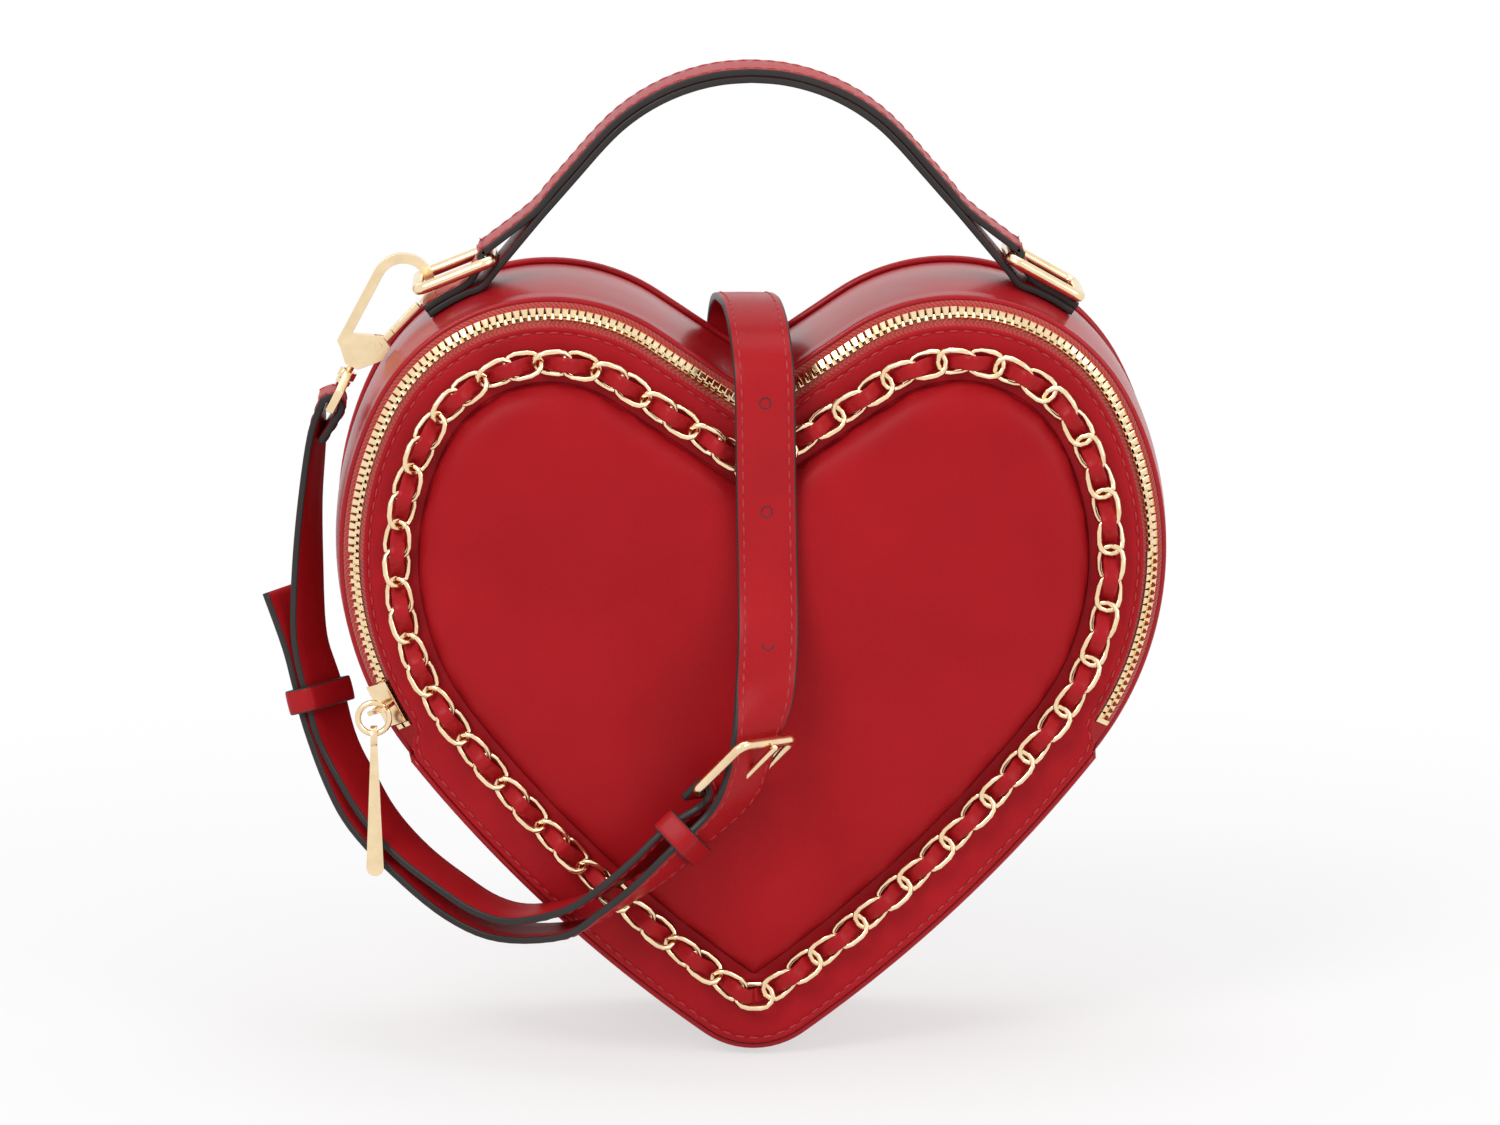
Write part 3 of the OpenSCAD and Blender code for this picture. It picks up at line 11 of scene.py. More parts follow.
import bmesh
import bpy
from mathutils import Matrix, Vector
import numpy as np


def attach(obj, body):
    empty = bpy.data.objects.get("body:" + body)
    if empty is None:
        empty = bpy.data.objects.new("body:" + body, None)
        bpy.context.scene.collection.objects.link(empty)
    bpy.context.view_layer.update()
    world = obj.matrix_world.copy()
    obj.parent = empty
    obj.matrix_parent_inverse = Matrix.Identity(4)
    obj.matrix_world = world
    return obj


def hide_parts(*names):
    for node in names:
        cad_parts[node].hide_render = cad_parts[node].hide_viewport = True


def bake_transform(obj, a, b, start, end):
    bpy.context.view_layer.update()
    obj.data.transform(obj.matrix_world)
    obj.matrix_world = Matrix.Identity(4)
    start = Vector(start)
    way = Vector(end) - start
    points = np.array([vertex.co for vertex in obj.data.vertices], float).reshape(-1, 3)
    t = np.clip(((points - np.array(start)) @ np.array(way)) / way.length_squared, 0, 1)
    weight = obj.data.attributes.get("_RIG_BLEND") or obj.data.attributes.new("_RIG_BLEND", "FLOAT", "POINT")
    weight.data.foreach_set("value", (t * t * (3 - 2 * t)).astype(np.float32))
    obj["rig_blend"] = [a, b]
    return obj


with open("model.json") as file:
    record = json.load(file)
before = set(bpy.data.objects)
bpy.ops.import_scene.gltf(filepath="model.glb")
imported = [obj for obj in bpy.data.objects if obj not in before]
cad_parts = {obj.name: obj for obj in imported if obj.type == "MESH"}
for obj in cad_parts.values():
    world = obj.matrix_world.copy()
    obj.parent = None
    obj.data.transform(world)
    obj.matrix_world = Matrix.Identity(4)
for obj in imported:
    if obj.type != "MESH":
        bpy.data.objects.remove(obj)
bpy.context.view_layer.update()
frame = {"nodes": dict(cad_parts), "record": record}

MM = 0.001
nodes = frame["nodes"]

# %% [markdown]
# ## Camera
# The photo was taken with a long lens from a little above, so upright lines stay upright. The
# camera stands two metres away, eleven degrees up, and looks at the middle of the purse.

# %% Set the camera
LOOK_AT = Vector((-0.6, -20, 117.4)) * MM
VIEW_DISTANCE = 2.0
VIEW_AZIMUTH = math.radians(-1.5)
VIEW_ELEVATION = math.radians(11)
LENS_MM, SENSOR_MM = 198, 36

camera = bpy.data.objects.new("camera", bpy.data.cameras.new("camera"))
bpy.context.scene.collection.objects.link(camera)
camera.location = LOOK_AT + VIEW_DISTANCE * Vector((
    math.sin(VIEW_AZIMUTH) * math.cos(VIEW_ELEVATION),
    -math.cos(VIEW_AZIMUTH) * math.cos(VIEW_ELEVATION),
    math.sin(VIEW_ELEVATION)))
camera.rotation_euler = (LOOK_AT - camera.location).to_track_quat("-Z", "Y").to_euler()
camera.data.lens = LENS_MM
camera.data.sensor_width = SENSOR_MM
bpy.context.scene.camera = camera
print("camera at", [round(c, 3) for c in camera.location])

# %% [markdown]
# ## The heart's outline
# Half of the heart is a straight run out of the notch, then four arcs: the lobe, the side, the
# long flank and the tip. Every seam, bead, zip tooth and chain link follows it, so we write it once,
# with the same numbers as the solids, in millimetres. A station holds a point on the outline, the
# way out of the heart there, and how far we have come along it.

# %% Write the outline
NOTCH_H, NOTCH_SLOPE, NOTCH_RUN = 159.7, 34.0, 27.8
LOBE_R, LOBE_TURN, SIDE_R, FLANK_R, TIP_R = 46.5, 96.3, 80.2, 342.0, 20.0
FOLD_Z = 93.0


def direction(degrees):
    return Vector((math.cos(math.radians(degrees)), math.sin(math.radians(degrees))))


LOBE_START = Vector((0, NOTCH_H)) + NOTCH_RUN * direction(NOTCH_SLOPE)
A_START = 90 + NOTCH_SLOPE
A_SIDE = A_START - LOBE_TURN
LOBE_C = LOBE_START - LOBE_R * direction(A_START)
SIDE_C = LOBE_C - (SIDE_R - LOBE_R) * direction(A_SIDE)
TIP_C = Vector((0, TIP_R))
TIP_GAP = (TIP_C - SIDE_C).length
TIP_DIR = (TIP_C - SIDE_C) / TIP_GAP
FLANK_ALONG = ((FLANK_R - SIDE_R) ** 2 - (FLANK_R - TIP_R) ** 2 + TIP_GAP ** 2) / (2 * TIP_GAP)
FLANK_ACROSS = math.sqrt((FLANK_R - SIDE_R) ** 2 - FLANK_ALONG ** 2)
FLANK_C = SIDE_C + FLANK_ALONG * TIP_DIR + FLANK_ACROSS * Vector((TIP_DIR.y, -TIP_DIR.x))


def angle_of(v):
    return math.degrees(math.atan2(v.y, v.x))


A_FLANK = angle_of(SIDE_C - FLANK_C)
A_TIP = angle_of(TIP_C - FLANK_C)
ZIP_END_TURN, TEETH_END_TURN = 5.2, 0.9
A_ZIP_END = A_FLANK + ZIP_END_TURN
A_TEETH_END = A_ZIP_END + TEETH_END_TURN


def arc(centre, radius, start, end, step, first=0):
    count = max(1, math.ceil(abs(end - start) / step))
    angles = [start + (end - start) * i / count for i in range(first, count + 1)]
    return [(centre + radius * direction(a), direction(a)) for a in angles]


def upper_half(end, step=3.0):
    out = Vector((0, 1 / math.cos(math.radians(NOTCH_SLOPE))))
    line = [(Vector((0, NOTCH_H)), out)]
    steps = max(2, round(9 / step))
    for i in range(1, steps):
        line.append((Vector((0, NOTCH_H)) + NOTCH_RUN * i / steps * direction(NOTCH_SLOPE),
                     direction(A_START)))
    lobe = arc(LOBE_C, LOBE_R, A_START, A_SIDE, step)
    return line + lobe + arc(SIDE_C, SIDE_R, A_SIDE, end, step * 0.7, 1)


def lower_half(first=0):
    return arc(FLANK_C, FLANK_R, A_FLANK, A_TIP, 0.7, first) + arc(TIP_C, TIP_R, A_TIP, -90, 7, 1)


def flipped(half):
    return [(Vector((-p.x, p.y)), Vector((-n.x, n.y))) for p, n in reversed(half)]


def over_top(end, step=3.0):
    half = upper_half(end, step)
    return flipped(half[1:]) + half


def under_tip(first=0):
    half = lower_half(first)
    return half + flipped(half[:-1])


def all_round():
    half = upper_half(A_FLANK) + lower_half(1)
    return half + flipped(half[1:-1])


def heart_point(station, out, front):
    """A place some way out of the outline and some way in front of it."""
    p, n = station
    return Vector((p.x + out * n.x, -front, p.y + out * n.y))


print("lobe centre", tuple(round(c, 1) for c in LOBE_C), "stations", len(all_round()))

# %% [markdown]
# ## Sweeping a section
# Leather goods are mostly strips bent along a path. One helper starts from the few points of a
# section and extrudes them from station to station. It keeps how far along and how far round each
# point is, and makes the UV map from it, so that a weave can follow the strip.

# %% Make the sweep helper
FORWARD = Vector((0, -1, 0))


def heart_frame(station):
    point, out = station
    return Vector((point.x, 0, point.y)), Vector((out.x, 0, out.y)), FORWARD


def heart_frames(stations):
    return [heart_frame(s) for s in stations]


def new_piece(name, bm, materials, smooth=True):
    mesh = bpy.data.meshes.new(name)
    bm.to_mesh(mesh)
    bm.free()
    for material in materials:
        mesh.materials.append(material)
    for face in mesh.polygons:
        face.use_smooth = smooth
    piece = bpy.data.objects.new(name, mesh)
    bpy.context.scene.collection.objects.link(piece)
    return piece


def layer(layers, name):
    return layers.get(name) or layers.new(name)


def carry(piece, carried):
    """One body carries a piece, or a fold between two bodies bends it."""
    if isinstance(carried, str):
        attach(piece, carried)
    else:
        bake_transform(piece, *carried)


def dress(piece, replaced, carried):
    """Hides the CAD nodes a piece stands for, and hands the piece to what carries it."""
    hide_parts(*replaced)
    carry(piece, carried)


def sweep(bm, frames, section, loop=False, caps=(True, True), material_of=None):
    """Extrudes a section along frames of (origin, x way, y way), in millimetres."""
    along = layer(bm.verts.layers.float, "along")
    around = layer(bm.verts.layers.float, "around")
    order = layer(bm.verts.layers.int, "order")
    uv = layer(bm.loops.layers.uv, "strip")
    old_faces = set(bm.faces)
    section = list(section) + [section[0]]
    frames = list(frames) + ([frames[0]] if loop else [])
    reach = [0.0]
    for a, b in zip(section, section[1:]):
        reach.append(reach[-1] + math.dist(a[:2], b[:2]))

    def place(i, frame_):
        origin, x_way, y_way = frame_
        return (origin + section[i][0] * x_way + section[i][1] * y_way) * MM

    row = [bm.verts.new(place(i, frames[0])) for i in range(len(section))]
    for i, vert in enumerate(row):
        vert[order], vert[around], vert[along] = i, reach[i], 0.0
    first_row = row
    edges = [bm.edges.new(pair) for pair in zip(row, row[1:])]
    travelled = 0.0
    for k in range(1, len(frames)):
        travelled += (frames[k][0] - frames[k - 1][0]).length
        grown = bmesh.ops.extrude_edge_only(bm, edges=edges)["geom"]
        edges = [g for g in grown if isinstance(g, bmesh.types.BMEdge)]
        row = [g for g in grown if isinstance(g, bmesh.types.BMVert)]
        for vert in row:
            vert.co = place(vert[order], frames[k])
            vert[along] = travelled
    faces = [f for f in bm.faces if f not in old_faces]
    for face in faces:
        for corner in face.loops:
            corner[uv].uv = (corner.vert[along] * MM, corner.vert[around] * MM)
        if material_of:
            middle = sorted(v[order] for v in face.verts)
            face.material_index = material_of(section, middle[0], middle[-1])
    if not loop:
        for end in [end for end, capped in zip((first_row, row), caps) if capped]:
            ordered = sorted(end, key=lambda v: v[order])[:-1]
            cap = bm.faces.new(ordered)
            cap.material_index = material_of(section, 0, 1) if material_of else 0
            faces.append(cap)
    verts = list({v for f in faces for v in f.verts})
    bmesh.ops.remove_doubles(bm, verts=verts, dist=1e-6)
    live = [f for f in bm.faces if f not in old_faces]
    bmesh.ops.recalc_face_normals(bm, faces=live)
    return live


def swept(name, frames, section, materials, **how):
    """One piece from one sweep."""
    bm = bmesh.new()
    sweep(bm, frames, section, **how)
    return new_piece(name, bm, materials)


def circle(radius, count=12, centre=(0.0, 0.0)):
    return [(centre[0] + radius * math.cos(2 * math.pi * i / count),
             centre[1] + radius * math.sin(2 * math.pi * i / count)) for i in range(count)]


def strap_section(width, thickness, corner=0.45):
    """A flat strap with rounded edges, its face up along y."""
    w, t = width / 2, thickness / 2
    c = min(corner, t * 0.95)
    right = [(w - c, -t), (w - c * 0.3, -t + c * 0.3), (w, -t + c), (w, t - c),
             (w - c * 0.3, t - c * 0.3), (w - c, t)]
    crown = [(w * s, t + 0.12 * (1 - s * s)) for s in (0.6, 0.2, -0.2, -0.6)]
    left = [(-x, y) for x, y in reversed(right)]
    return right + crown + left + [(-w * 0.4, -t), (w * 0.4, -t)]


def painted_sides(section, i, j, axis=0, reach=0.4):
    """The cut edges of a strap are painted: they get its second material."""
    widest = max(p[axis] for p in section)
    return 1 if abs(section[i][axis] + section[j][axis]) / 2 > widest - reach else 0


print("sweep is ready")

# %% [markdown]
# ## Shader groups
# Two effects are used by several finishes. Leather grain is a fine net of creases over a soft
# unevenness. The weave is a herringbone for the zip's tape. Each is a node group, and each puts out
# only values that change over the surface.

# %% Make the shader groups
def new_group(name, inputs, outputs):
    group = bpy.data.node_groups.new(name, "ShaderNodeTree")
    for label, kind, value in inputs:
        socket = group.interface.new_socket(label, in_out="INPUT", socket_type=kind)
        if value is not None:
            socket.default_value = value
    for label, kind in outputs:
        group.interface.new_socket(label, in_out="OUTPUT", socket_type=kind)
    return group, group.nodes.new("NodeGroupInput"), group.nodes.new("NodeGroupOutput")


def add(tree, kind, **settings):
    """A new shader node; a setting called in_2 is the value of its input number two."""
    node = tree.nodes.new("ShaderNode" + kind)
    for key, value in settings.items():
        if key.startswith("in_"):
            node.inputs[int(key[3:])].default_value = value
        else:
            setattr(node, key, value)
    return node


def wire(tree, *joins):
    """Joins nodes: each join is a node, its output, the next node and its input."""
    for source, output_name, target, input_name in joins:
        tree.links.new(source.outputs[output_name], target.inputs[input_name])


def set_inputs(node, values):
    for label, value in values.items():
        node.inputs[label].default_value = value


FLOAT, VECTOR = "NodeSocketFloat", "NodeSocketVector"
grain, grain_in, grain_out = new_group(
    "leather grain", [("Vector", VECTOR, None), ("Scale", FLOAT, 1500.0), ("Depth", FLOAT, 0.08)],
    [("Patch", FLOAT), ("Normal", VECTOR)])
cells = add(grain, "TexVoronoi", feature="DISTANCE_TO_EDGE")
crease = add(grain, "MapRange", in_1=0.0, in_2=0.35)
fine = add(grain, "TexNoise", in_3=4.0)
broad = add(grain, "TexNoise", in_2=38.0, in_3=3.0)
fine_scale = add(grain, "Math", operation="MULTIPLY", in_1=0.45)
mixed = add(grain, "Math", operation="MULTIPLY_ADD", in_1=0.45)
rise = add(grain, "Math", operation="MULTIPLY_ADD", in_1=2.2)
bump = add(grain, "Bump", in_1=0.0002)
wire(grain,
     (grain_in, "Vector", cells, "Vector"), (grain_in, "Scale", cells, "Scale"),
     (cells, "Distance", crease, "Value"), (grain_in, "Vector", fine, "Vector"),
     (grain_in, "Scale", fine_scale, 0), (fine_scale, 0, fine, "Scale"),
     (grain_in, "Vector", broad, "Vector"), (fine, "Fac", mixed, 0), (crease, 0, mixed, 2),
     (broad, "Fac", rise, 0), (mixed, 0, rise, 2), (rise, 0, bump, "Height"),
     (grain_in, "Depth", bump, "Strength"), (broad, "Fac", grain_out, "Patch"),
     (bump, "Normal", grain_out, "Normal"))

weave, weave_in, weave_out = new_group(
    "herringbone weave", [("Pitch", FLOAT, 900.0), ("Depth", FLOAT, 0.5)],
    [("Thread", FLOAT), ("Normal", VECTOR)])
strip_uv = add(weave, "UVMap", uv_map="strip")
split = add(weave, "SeparateXYZ")
across = add(weave, "Math", operation="PINGPONG", in_1=0.0012)
slant = add(weave, "Math", operation="ADD")
turned = add(weave, "Math", operation="MULTIPLY")
wave = add(weave, "Math", operation="SINE")
lifted = add(weave, "Math", operation="MULTIPLY_ADD", in_1=0.5, in_2=0.5)
weave_bump = add(weave, "Bump", in_1=0.0002)
wire(weave,
     (strip_uv, 0, split, 0), (split, "Y", across, 0), (across, 0, slant, 0), (split, "X", slant, 1),
     (slant, 0, turned, 0), (weave_in, "Pitch", turned, 1), (turned, 0, wave, 0),
     (wave, 0, lifted, 0), (lifted, 0, weave_bump, "Height"),
     (weave_in, "Depth", weave_bump, "Strength"), (lifted, 0, weave_out, "Thread"),
     (weave_bump, "Normal", weave_out, "Normal"))
print("groups:", grain.name, "and", weave.name)

# %% [markdown]
# ## Finishes
# The body is a smooth deep red leather with a soft shine; the cut edges are painted charcoal; the
# zip's tape is an orange red herringbone; the metal is a pale champagne gold. The colour varies a
# little over each, and so does the shine.

# %% Mix the leathers
NOISE_LOW, NOISE_HIGH = 0.3, 0.7
LEATHER_SPECULAR = 0.08


def new_material(name):
    material = bpy.data.materials.new(name)
    material.use_nodes = True
    tree = material.node_tree
    return material, tree, tree.nodes["Principled BSDF"]


def tint_ramp(tree, dark, colour, low=0.0, high=1.0):
    tint = add(tree, "ValToRGB")
    for element, at, shade in zip(tint.color_ramp.elements, (low, high), (dark, colour)):
        element.position = at
        element.color = (*shade, 1)
    return tint


def leather(name, colour, dark, roughness, coat, scale=1500.0, depth=0.10, coat_roughness=0.25):
    material, tree, shader = new_material(name)
    place = add(tree, "TexCoord")
    skin = add(tree, "Group", node_tree=grain)
    set_inputs(skin, {"Scale": scale, "Depth": depth})
    tint = tint_ramp(tree, dark, colour, NOISE_LOW, NOISE_HIGH)
    shine = add(tree, "MapRange", in_1=NOISE_LOW, in_2=NOISE_HIGH, in_3=roughness - 0.05,
                in_4=roughness + 0.06)
    wire(tree, (place, "Object", skin, "Vector"), (skin, "Patch", tint, "Fac"),
         (skin, "Patch", shine, "Value"), (tint, "Color", shader, "Base Color"),
         (shine, "Result", shader, "Roughness"), (skin, "Normal", shader, "Normal"))
    set_inputs(shader, {"Coat Weight": coat, "Coat Roughness": coat_roughness,
                        "Specular IOR Level": LEATHER_SPECULAR})
    return material


RED = (0.420, 0.010, 0.016)
RED_DARK = (0.350, 0.008, 0.013)
red_leather = leather("red leather", RED, RED_DARK, 0.42, 0.05)
glossy_leather = leather("glossy gusset leather", RED, RED_DARK, 0.34, 0.3, depth=0.06,
                         coat_roughness=0.18)
soft_leather = leather("padded leather", (0.400, 0.009, 0.014), (0.350, 0.007, 0.011), 0.45, 0.05,
                       scale=1800.0, depth=0.09, coat_roughness=0.35)
strap_leather = leather("strap leather", (0.430, 0.012, 0.017), (0.360, 0.009, 0.013), 0.38, 0.1,
                        depth=0.12)
edge_paint = leather("painted edge", (0.040, 0.034, 0.033), (0.030, 0.026, 0.026), 0.40, 0.2,
                     scale=900.0, depth=0.08)
print("leathers mixed")


# %% Mix the cloths, the board, the thread and the metal
def cloth(name, colour, dark, roughness, depth=0.5, pitch=5200.0):
    material, tree, shader = new_material(name)
    thread = add(tree, "Group", node_tree=weave)
    set_inputs(thread, {"Pitch": pitch, "Depth": depth})
    # The weave's low lines take the darker colour: painted shade in the grooves between threads.
    tint = tint_ramp(tree, dark, colour)
    wire(tree, (thread, "Thread", tint, "Fac"), (tint, "Color", shader, "Base Color"),
         (thread, "Normal", shader, "Normal"))
    set_inputs(shader, {"Roughness": roughness, "Sheen Weight": 0.2})
    return material


def speckled(name, colour, dark, roughness, scale, depth=0.2, metallic=0.0):
    """A finish with fine variation in place: lining cloth, board, thread and metal use it."""
    material, tree, shader = new_material(name)
    place = add(tree, "TexCoord")
    speckle = add(tree, "TexNoise", in_2=scale, in_3=4.0)
    tint = tint_ramp(tree, dark, colour, 0.35, 0.65)
    shine = add(tree, "MapRange", in_1=NOISE_LOW, in_2=NOISE_HIGH, in_3=roughness * 0.85,
                in_4=roughness * 1.2)
    ripple = add(tree, "Bump", in_0=depth, in_1=0.0001)
    wire(tree, (place, "Object", speckle, "Vector"), (speckle, "Fac", tint, "Fac"),
         (speckle, "Fac", shine, "Value"), (speckle, "Fac", ripple, "Height"),
         (tint, "Color", shader, "Base Color"), (shine, "Result", shader, "Roughness"),
         (ripple, "Normal", shader, "Normal"))
    set_inputs(shader, {"Metallic": metallic})
    return material


# The tape's darker colour is painted shade for the grooves of its weave.
tape_cloth = cloth("zip tape", (0.55, 0.040, 0.022), (0.28, 0.012, 0.010), 0.75)
lining_cloth = speckled("lining cloth", (0.14, 0.018, 0.020), (0.09, 0.012, 0.014), 0.85, 1500.0)
board_fibre = speckled("board", (0.42, 0.33, 0.23), (0.34, 0.26, 0.18), 0.9, 700.0)
red_thread = speckled("red thread", (0.46, 0.018, 0.020), (0.34, 0.010, 0.014), 0.5, 3000.0)
gold = speckled("champagne gold", (0.93, 0.74, 0.48), (0.86, 0.66, 0.40), 0.17, 260.0, 0.03, 1.0)
print(len(bpy.data.materials), "materials")

# %% [markdown]
# ## Stitches
# A stitch is a short thread that dips into the leather at both ends. Hundreds are needed, so each is
# a small stretched ball of a few faces, laid along a path and sunk to its middle.

# %% Make the stitch helper
def walk(line, pitch, first=None):
    """Even places along a line: for each, the run that it is on and its share of that run."""
    total = sum((b - a).length for a, b in zip(line, line[1:]))
    count = max(1, int(total / pitch))
    step = total / count
    goal = step / 2 if first is None else first
    travelled, i = 0.0, 0
    for _ in range(count):
        while i < len(line) - 2 and travelled + (line[i + 1] - line[i]).length < goal:
            travelled += (line[i + 1] - line[i]).length
            i += 1
        yield i, (goal - travelled) / max((line[i + 1] - line[i]).length, 1e-6)
        goal += step


def lay_stitches(bm, path, normals, pitch, length, radius):
    """Stitches along a path in millimetres, each with the surface's outward way."""
    for i, share in walk(path, pitch):
        run = path[i + 1] - path[i]
        at = path[i] + run * share
        x_way = run.normalized()
        z_way = (normals[i] - normals[i].dot(x_way) * x_way).normalized()
        y_way = z_way.cross(x_way)
        made = bmesh.ops.create_uvsphere(bm, u_segments=8, v_segments=4, radius=1.0)["verts"]
        for vert in made:
            x, y, z = vert.co
            local = z * length / 2 * x_way + y * radius * y_way + x * radius * 0.8 * z_way
            vert.co = (at + local) * MM


def stitch_piece(name, paths, pitch=3.3, length=2.6, radius=0.34):
    bm = bmesh.new()
    for path, normals in paths:
        lay_stitches(bm, path, normals, pitch, length, radius)
    bmesh.ops.recalc_face_normals(bm, faces=bm.faces)
    piece = new_piece(name, bm, [red_thread])
    return piece


print("stitches are ready")

# %% [markdown]
# ## Gusset and back
# The gusset is the band of leather round the purse's depth. It bulges a little, ends at the front
# in a turned bead, and has a wider piece under the zip's ends. The back is one heart of leather,
# slightly crowned, with a thin piping in the seam.

# %% Sweep the gusset
GUSSET_F, LEATHER_T, BULGE, GUSSET_OUT = 26.0, 1.4, 1.4, 0.5
GUSSET_IN = GUSSET_OUT - LEATHER_T
BEAD_R = LEATHER_T / 2


def gusset_section(front):
    end = front - BEAD_R
    mid, reach = (end - GUSSET_F) / 2, (end + GUSSET_F) / 2
    shares = [-1 + i / 6 for i in range(13)]
    outside = [(GUSSET_OUT + BULGE * (1 - u * u), mid + u * reach) for u in shares]
    inside = [(GUSSET_IN + BULGE * (1 - u * u), mid + u * reach) for u in reversed(shares[::2])]
    bead = [(GUSSET_IN + BEAD_R * (1 + 1.25 * math.cos(a)), end + 0.1 + BEAD_R * 1.1 * math.sin(a))
            for a in [math.radians(d) for d in (20, 50, 80, 110, 140, 170)]]
    return outside + bead + inside


PANEL_F = 33.27
PIPING_R, PIPING_F = 1.0, -27.0
gusset_upper = swept("gusset_band", heart_frames(over_top(A_FLANK)),
                     gusset_section(GUSSET_F), [glossy_leather])
dress(gusset_upper, ["gusset_upper"], "body")
gusset_lower = swept("gusset_foot", heart_frames(under_tip()),
                     gusset_section(PANEL_F - 0.1), [glossy_leather])
dress(gusset_lower, ["gusset_lower"], "body")
piping = swept("piping", heart_frames(all_round()),
               circle(PIPING_R, 12, (PIPING_R, PIPING_F)), [glossy_leather], loop=True)
dress(piping, ["back_piping"], "body")
print("gusset faces", len(gusset_upper.data.polygons) + len(gusset_lower.data.polygons))


# %% Crown the back
def grow_shell(bm, rows, closed=(True, True)):
    """Grows a skin from one ring of points to the next, in millimetres, and closes its ends."""
    order = layer(bm.verts.layers.int, "order")
    verts = [bm.verts.new(p * MM) for p in rows[0]]
    for i, vert in enumerate(verts):
        vert[order] = i
    first = [bm.edges.new((verts[i - 1], verts[i])) for i in range(len(verts))]
    edges = first
    for row in rows[1:]:
        grown = bmesh.ops.extrude_edge_only(bm, edges=edges)["geom"]
        edges = [g for g in grown if isinstance(g, bmesh.types.BMEdge)]
        for vert in (g for g in grown if isinstance(g, bmesh.types.BMVert)):
            vert.co = row[vert[order]] * MM
    for loop, close in ((first, closed[0]), (edges, closed[1])):
        if close:
            bmesh.ops.triangle_fill(bm, edges=loop, use_beauty=True)
    bmesh.ops.recalc_face_normals(bm, faces=bm.faces)


bm = bmesh.new()
back_rings = [(-0.1, -26.05), (0.0, -26.3), (0.0, -27.1), (-0.5, -27.4), (-3.0, -27.5),
              (-8.0, -27.6), (-14.0, -27.7)]
grow_shell(bm, [[heart_point(s, out, front) for s in all_round()] for out, front in back_rings])
back_skin = new_piece("back_leather", bm, [red_leather])
dress(back_skin, ["back_panel"], "body")
print("back faces", len(back_skin.data.polygons))

# %% [markdown]
# ## Front panel
# The zipped front is a flat heart of leather whose rim is turned over and stitched down a little
# way in, so a groove with red thread runs all round. Under the zip's ends the panel reaches further
# out, to the wide part of the gusset. The front opens by folding across its middle, so the panel,
# its stitches, the padding and the chain bend between the body and the flap there.

# %% Sweep the panel's rim and flat
PANEL_TOP = 34.67
PANEL_INSET, LOW_INSET = 5.5, 1.1
REACH_Z, REACH_OVER = 77.5, 5.0
SEAM_INSET, SEAM_RISE, CORE_INSET = 6.8, 1.2, 17.0
FRONT_Y, FOLD_REACH = -0.0417, 9
FLAP_FOLD = ("body", "flap", (0, FRONT_Y, (FOLD_Z - FOLD_REACH) * MM),
             (0, FRONT_Y, (FOLD_Z + FOLD_REACH) * MM))


def reach_out(point):
    """How much further out the panel reaches at a place: all of it under the zip's ends."""
    share = min(1.0, max(0.0, (REACH_Z - point.y) / REACH_OVER))
    return (PANEL_INSET - LOW_INSET) * share * share * (3 - 2 * share)


rim = [(-7.8, PANEL_F, 1), (-5.9, PANEL_F, 1),
       (-5.55, PANEL_F + 0.25, 1), (-5.42, PANEL_F + 0.7, 1),
       (-5.5, PANEL_F + 1.15, 1), (-5.8, PANEL_F + 1.4, 1), (-6.15, PANEL_F + 1.42, 1),
       (-6.5, PANEL_F + 1.2, 1), (-SEAM_INSET, PANEL_F + 1.02, 1), (-7.1, PANEL_F + 1.2, 1),
       (-7.5, PANEL_F + 1.38, 1), (-8.2, PANEL_TOP - 0.02, 0.95), (-10.5, PANEL_TOP, 0.7),
       (-13.0, PANEL_TOP, 0.35), (-16.0, PANEL_TOP, 0), (-18.6, PANEL_TOP - 0.1, 0)]


def middle_ring(out, front, steps=44):
    """A heart further in than the tip's radius: its flanks meet at a point."""
    end = -math.degrees(math.acos(-FLANK_C.x / (FLANK_R + out)))
    right = [p + out * n for p, n in upper_half(A_FLANK)]
    right += [FLANK_C + (FLANK_R + out) * direction(A_FLANK + (end - A_FLANK) * i / steps)
              for i in range(1, steps + 1)]
    right[-1].x = 0.0
    ring = right + [Vector((-p.x, p.y)) for p in reversed(right[1:-1])]
    return [Vector((p.x, -front, p.y)) for p in ring]


stations = all_round()
bm = bmesh.new()
grow_shell(bm, [[heart_point(s, out + weight * reach_out(s[0]), front) for s in stations]
                for out, front, weight in rim], (True, False))
core = bmesh.new()
grow_shell(core, [middle_ring(-CORE_INSET, front) for front in (PANEL_F + 0.2, PANEL_TOP - 0.25)])
core_mesh = bpy.data.meshes.new("core")
core.to_mesh(core_mesh)
core.free()
bm.from_mesh(core_mesh)
front_skin = new_piece("front_leather", bm, [red_leather])
dress(front_skin, ["front_panel_lower", "front_panel_upper"], FLAP_FOLD)

seam = [heart_point(s, -SEAM_INSET + reach_out(s[0]), PANEL_F + SEAM_RISE)
        for s in stations + stations[:1]]
panel_stitches = stitch_piece("front_stitches", [(seam, [FORWARD] * len(seam))])
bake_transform(panel_stitches, *FLAP_FOLD)
print("front faces", len(front_skin.data.polygons),
      "stitch faces", len(panel_stitches.data.polygons))

# %% [markdown]
# ## Padded heart
# Inside the chain the front swells into a padded heart: leather drawn over foam. We start from a
# plain solid a little smaller than the CAD one, remesh it evenly, and let cloth pressure swell it
# while its back stays pinned to the panel. Limits on the travel and the height keep it below the
# strap that lies on it. Smoothing and one subdivision give it the drawn look of leather.

# %% Swell the padded heart
PUFF_INSET = 17.8
PUFF_TOP = 41.67
PUFF_CAP = 41.6
SWELL_FRAMES, SWELL_LIMIT = 14, 1.6
SMOOTHINGS = 12

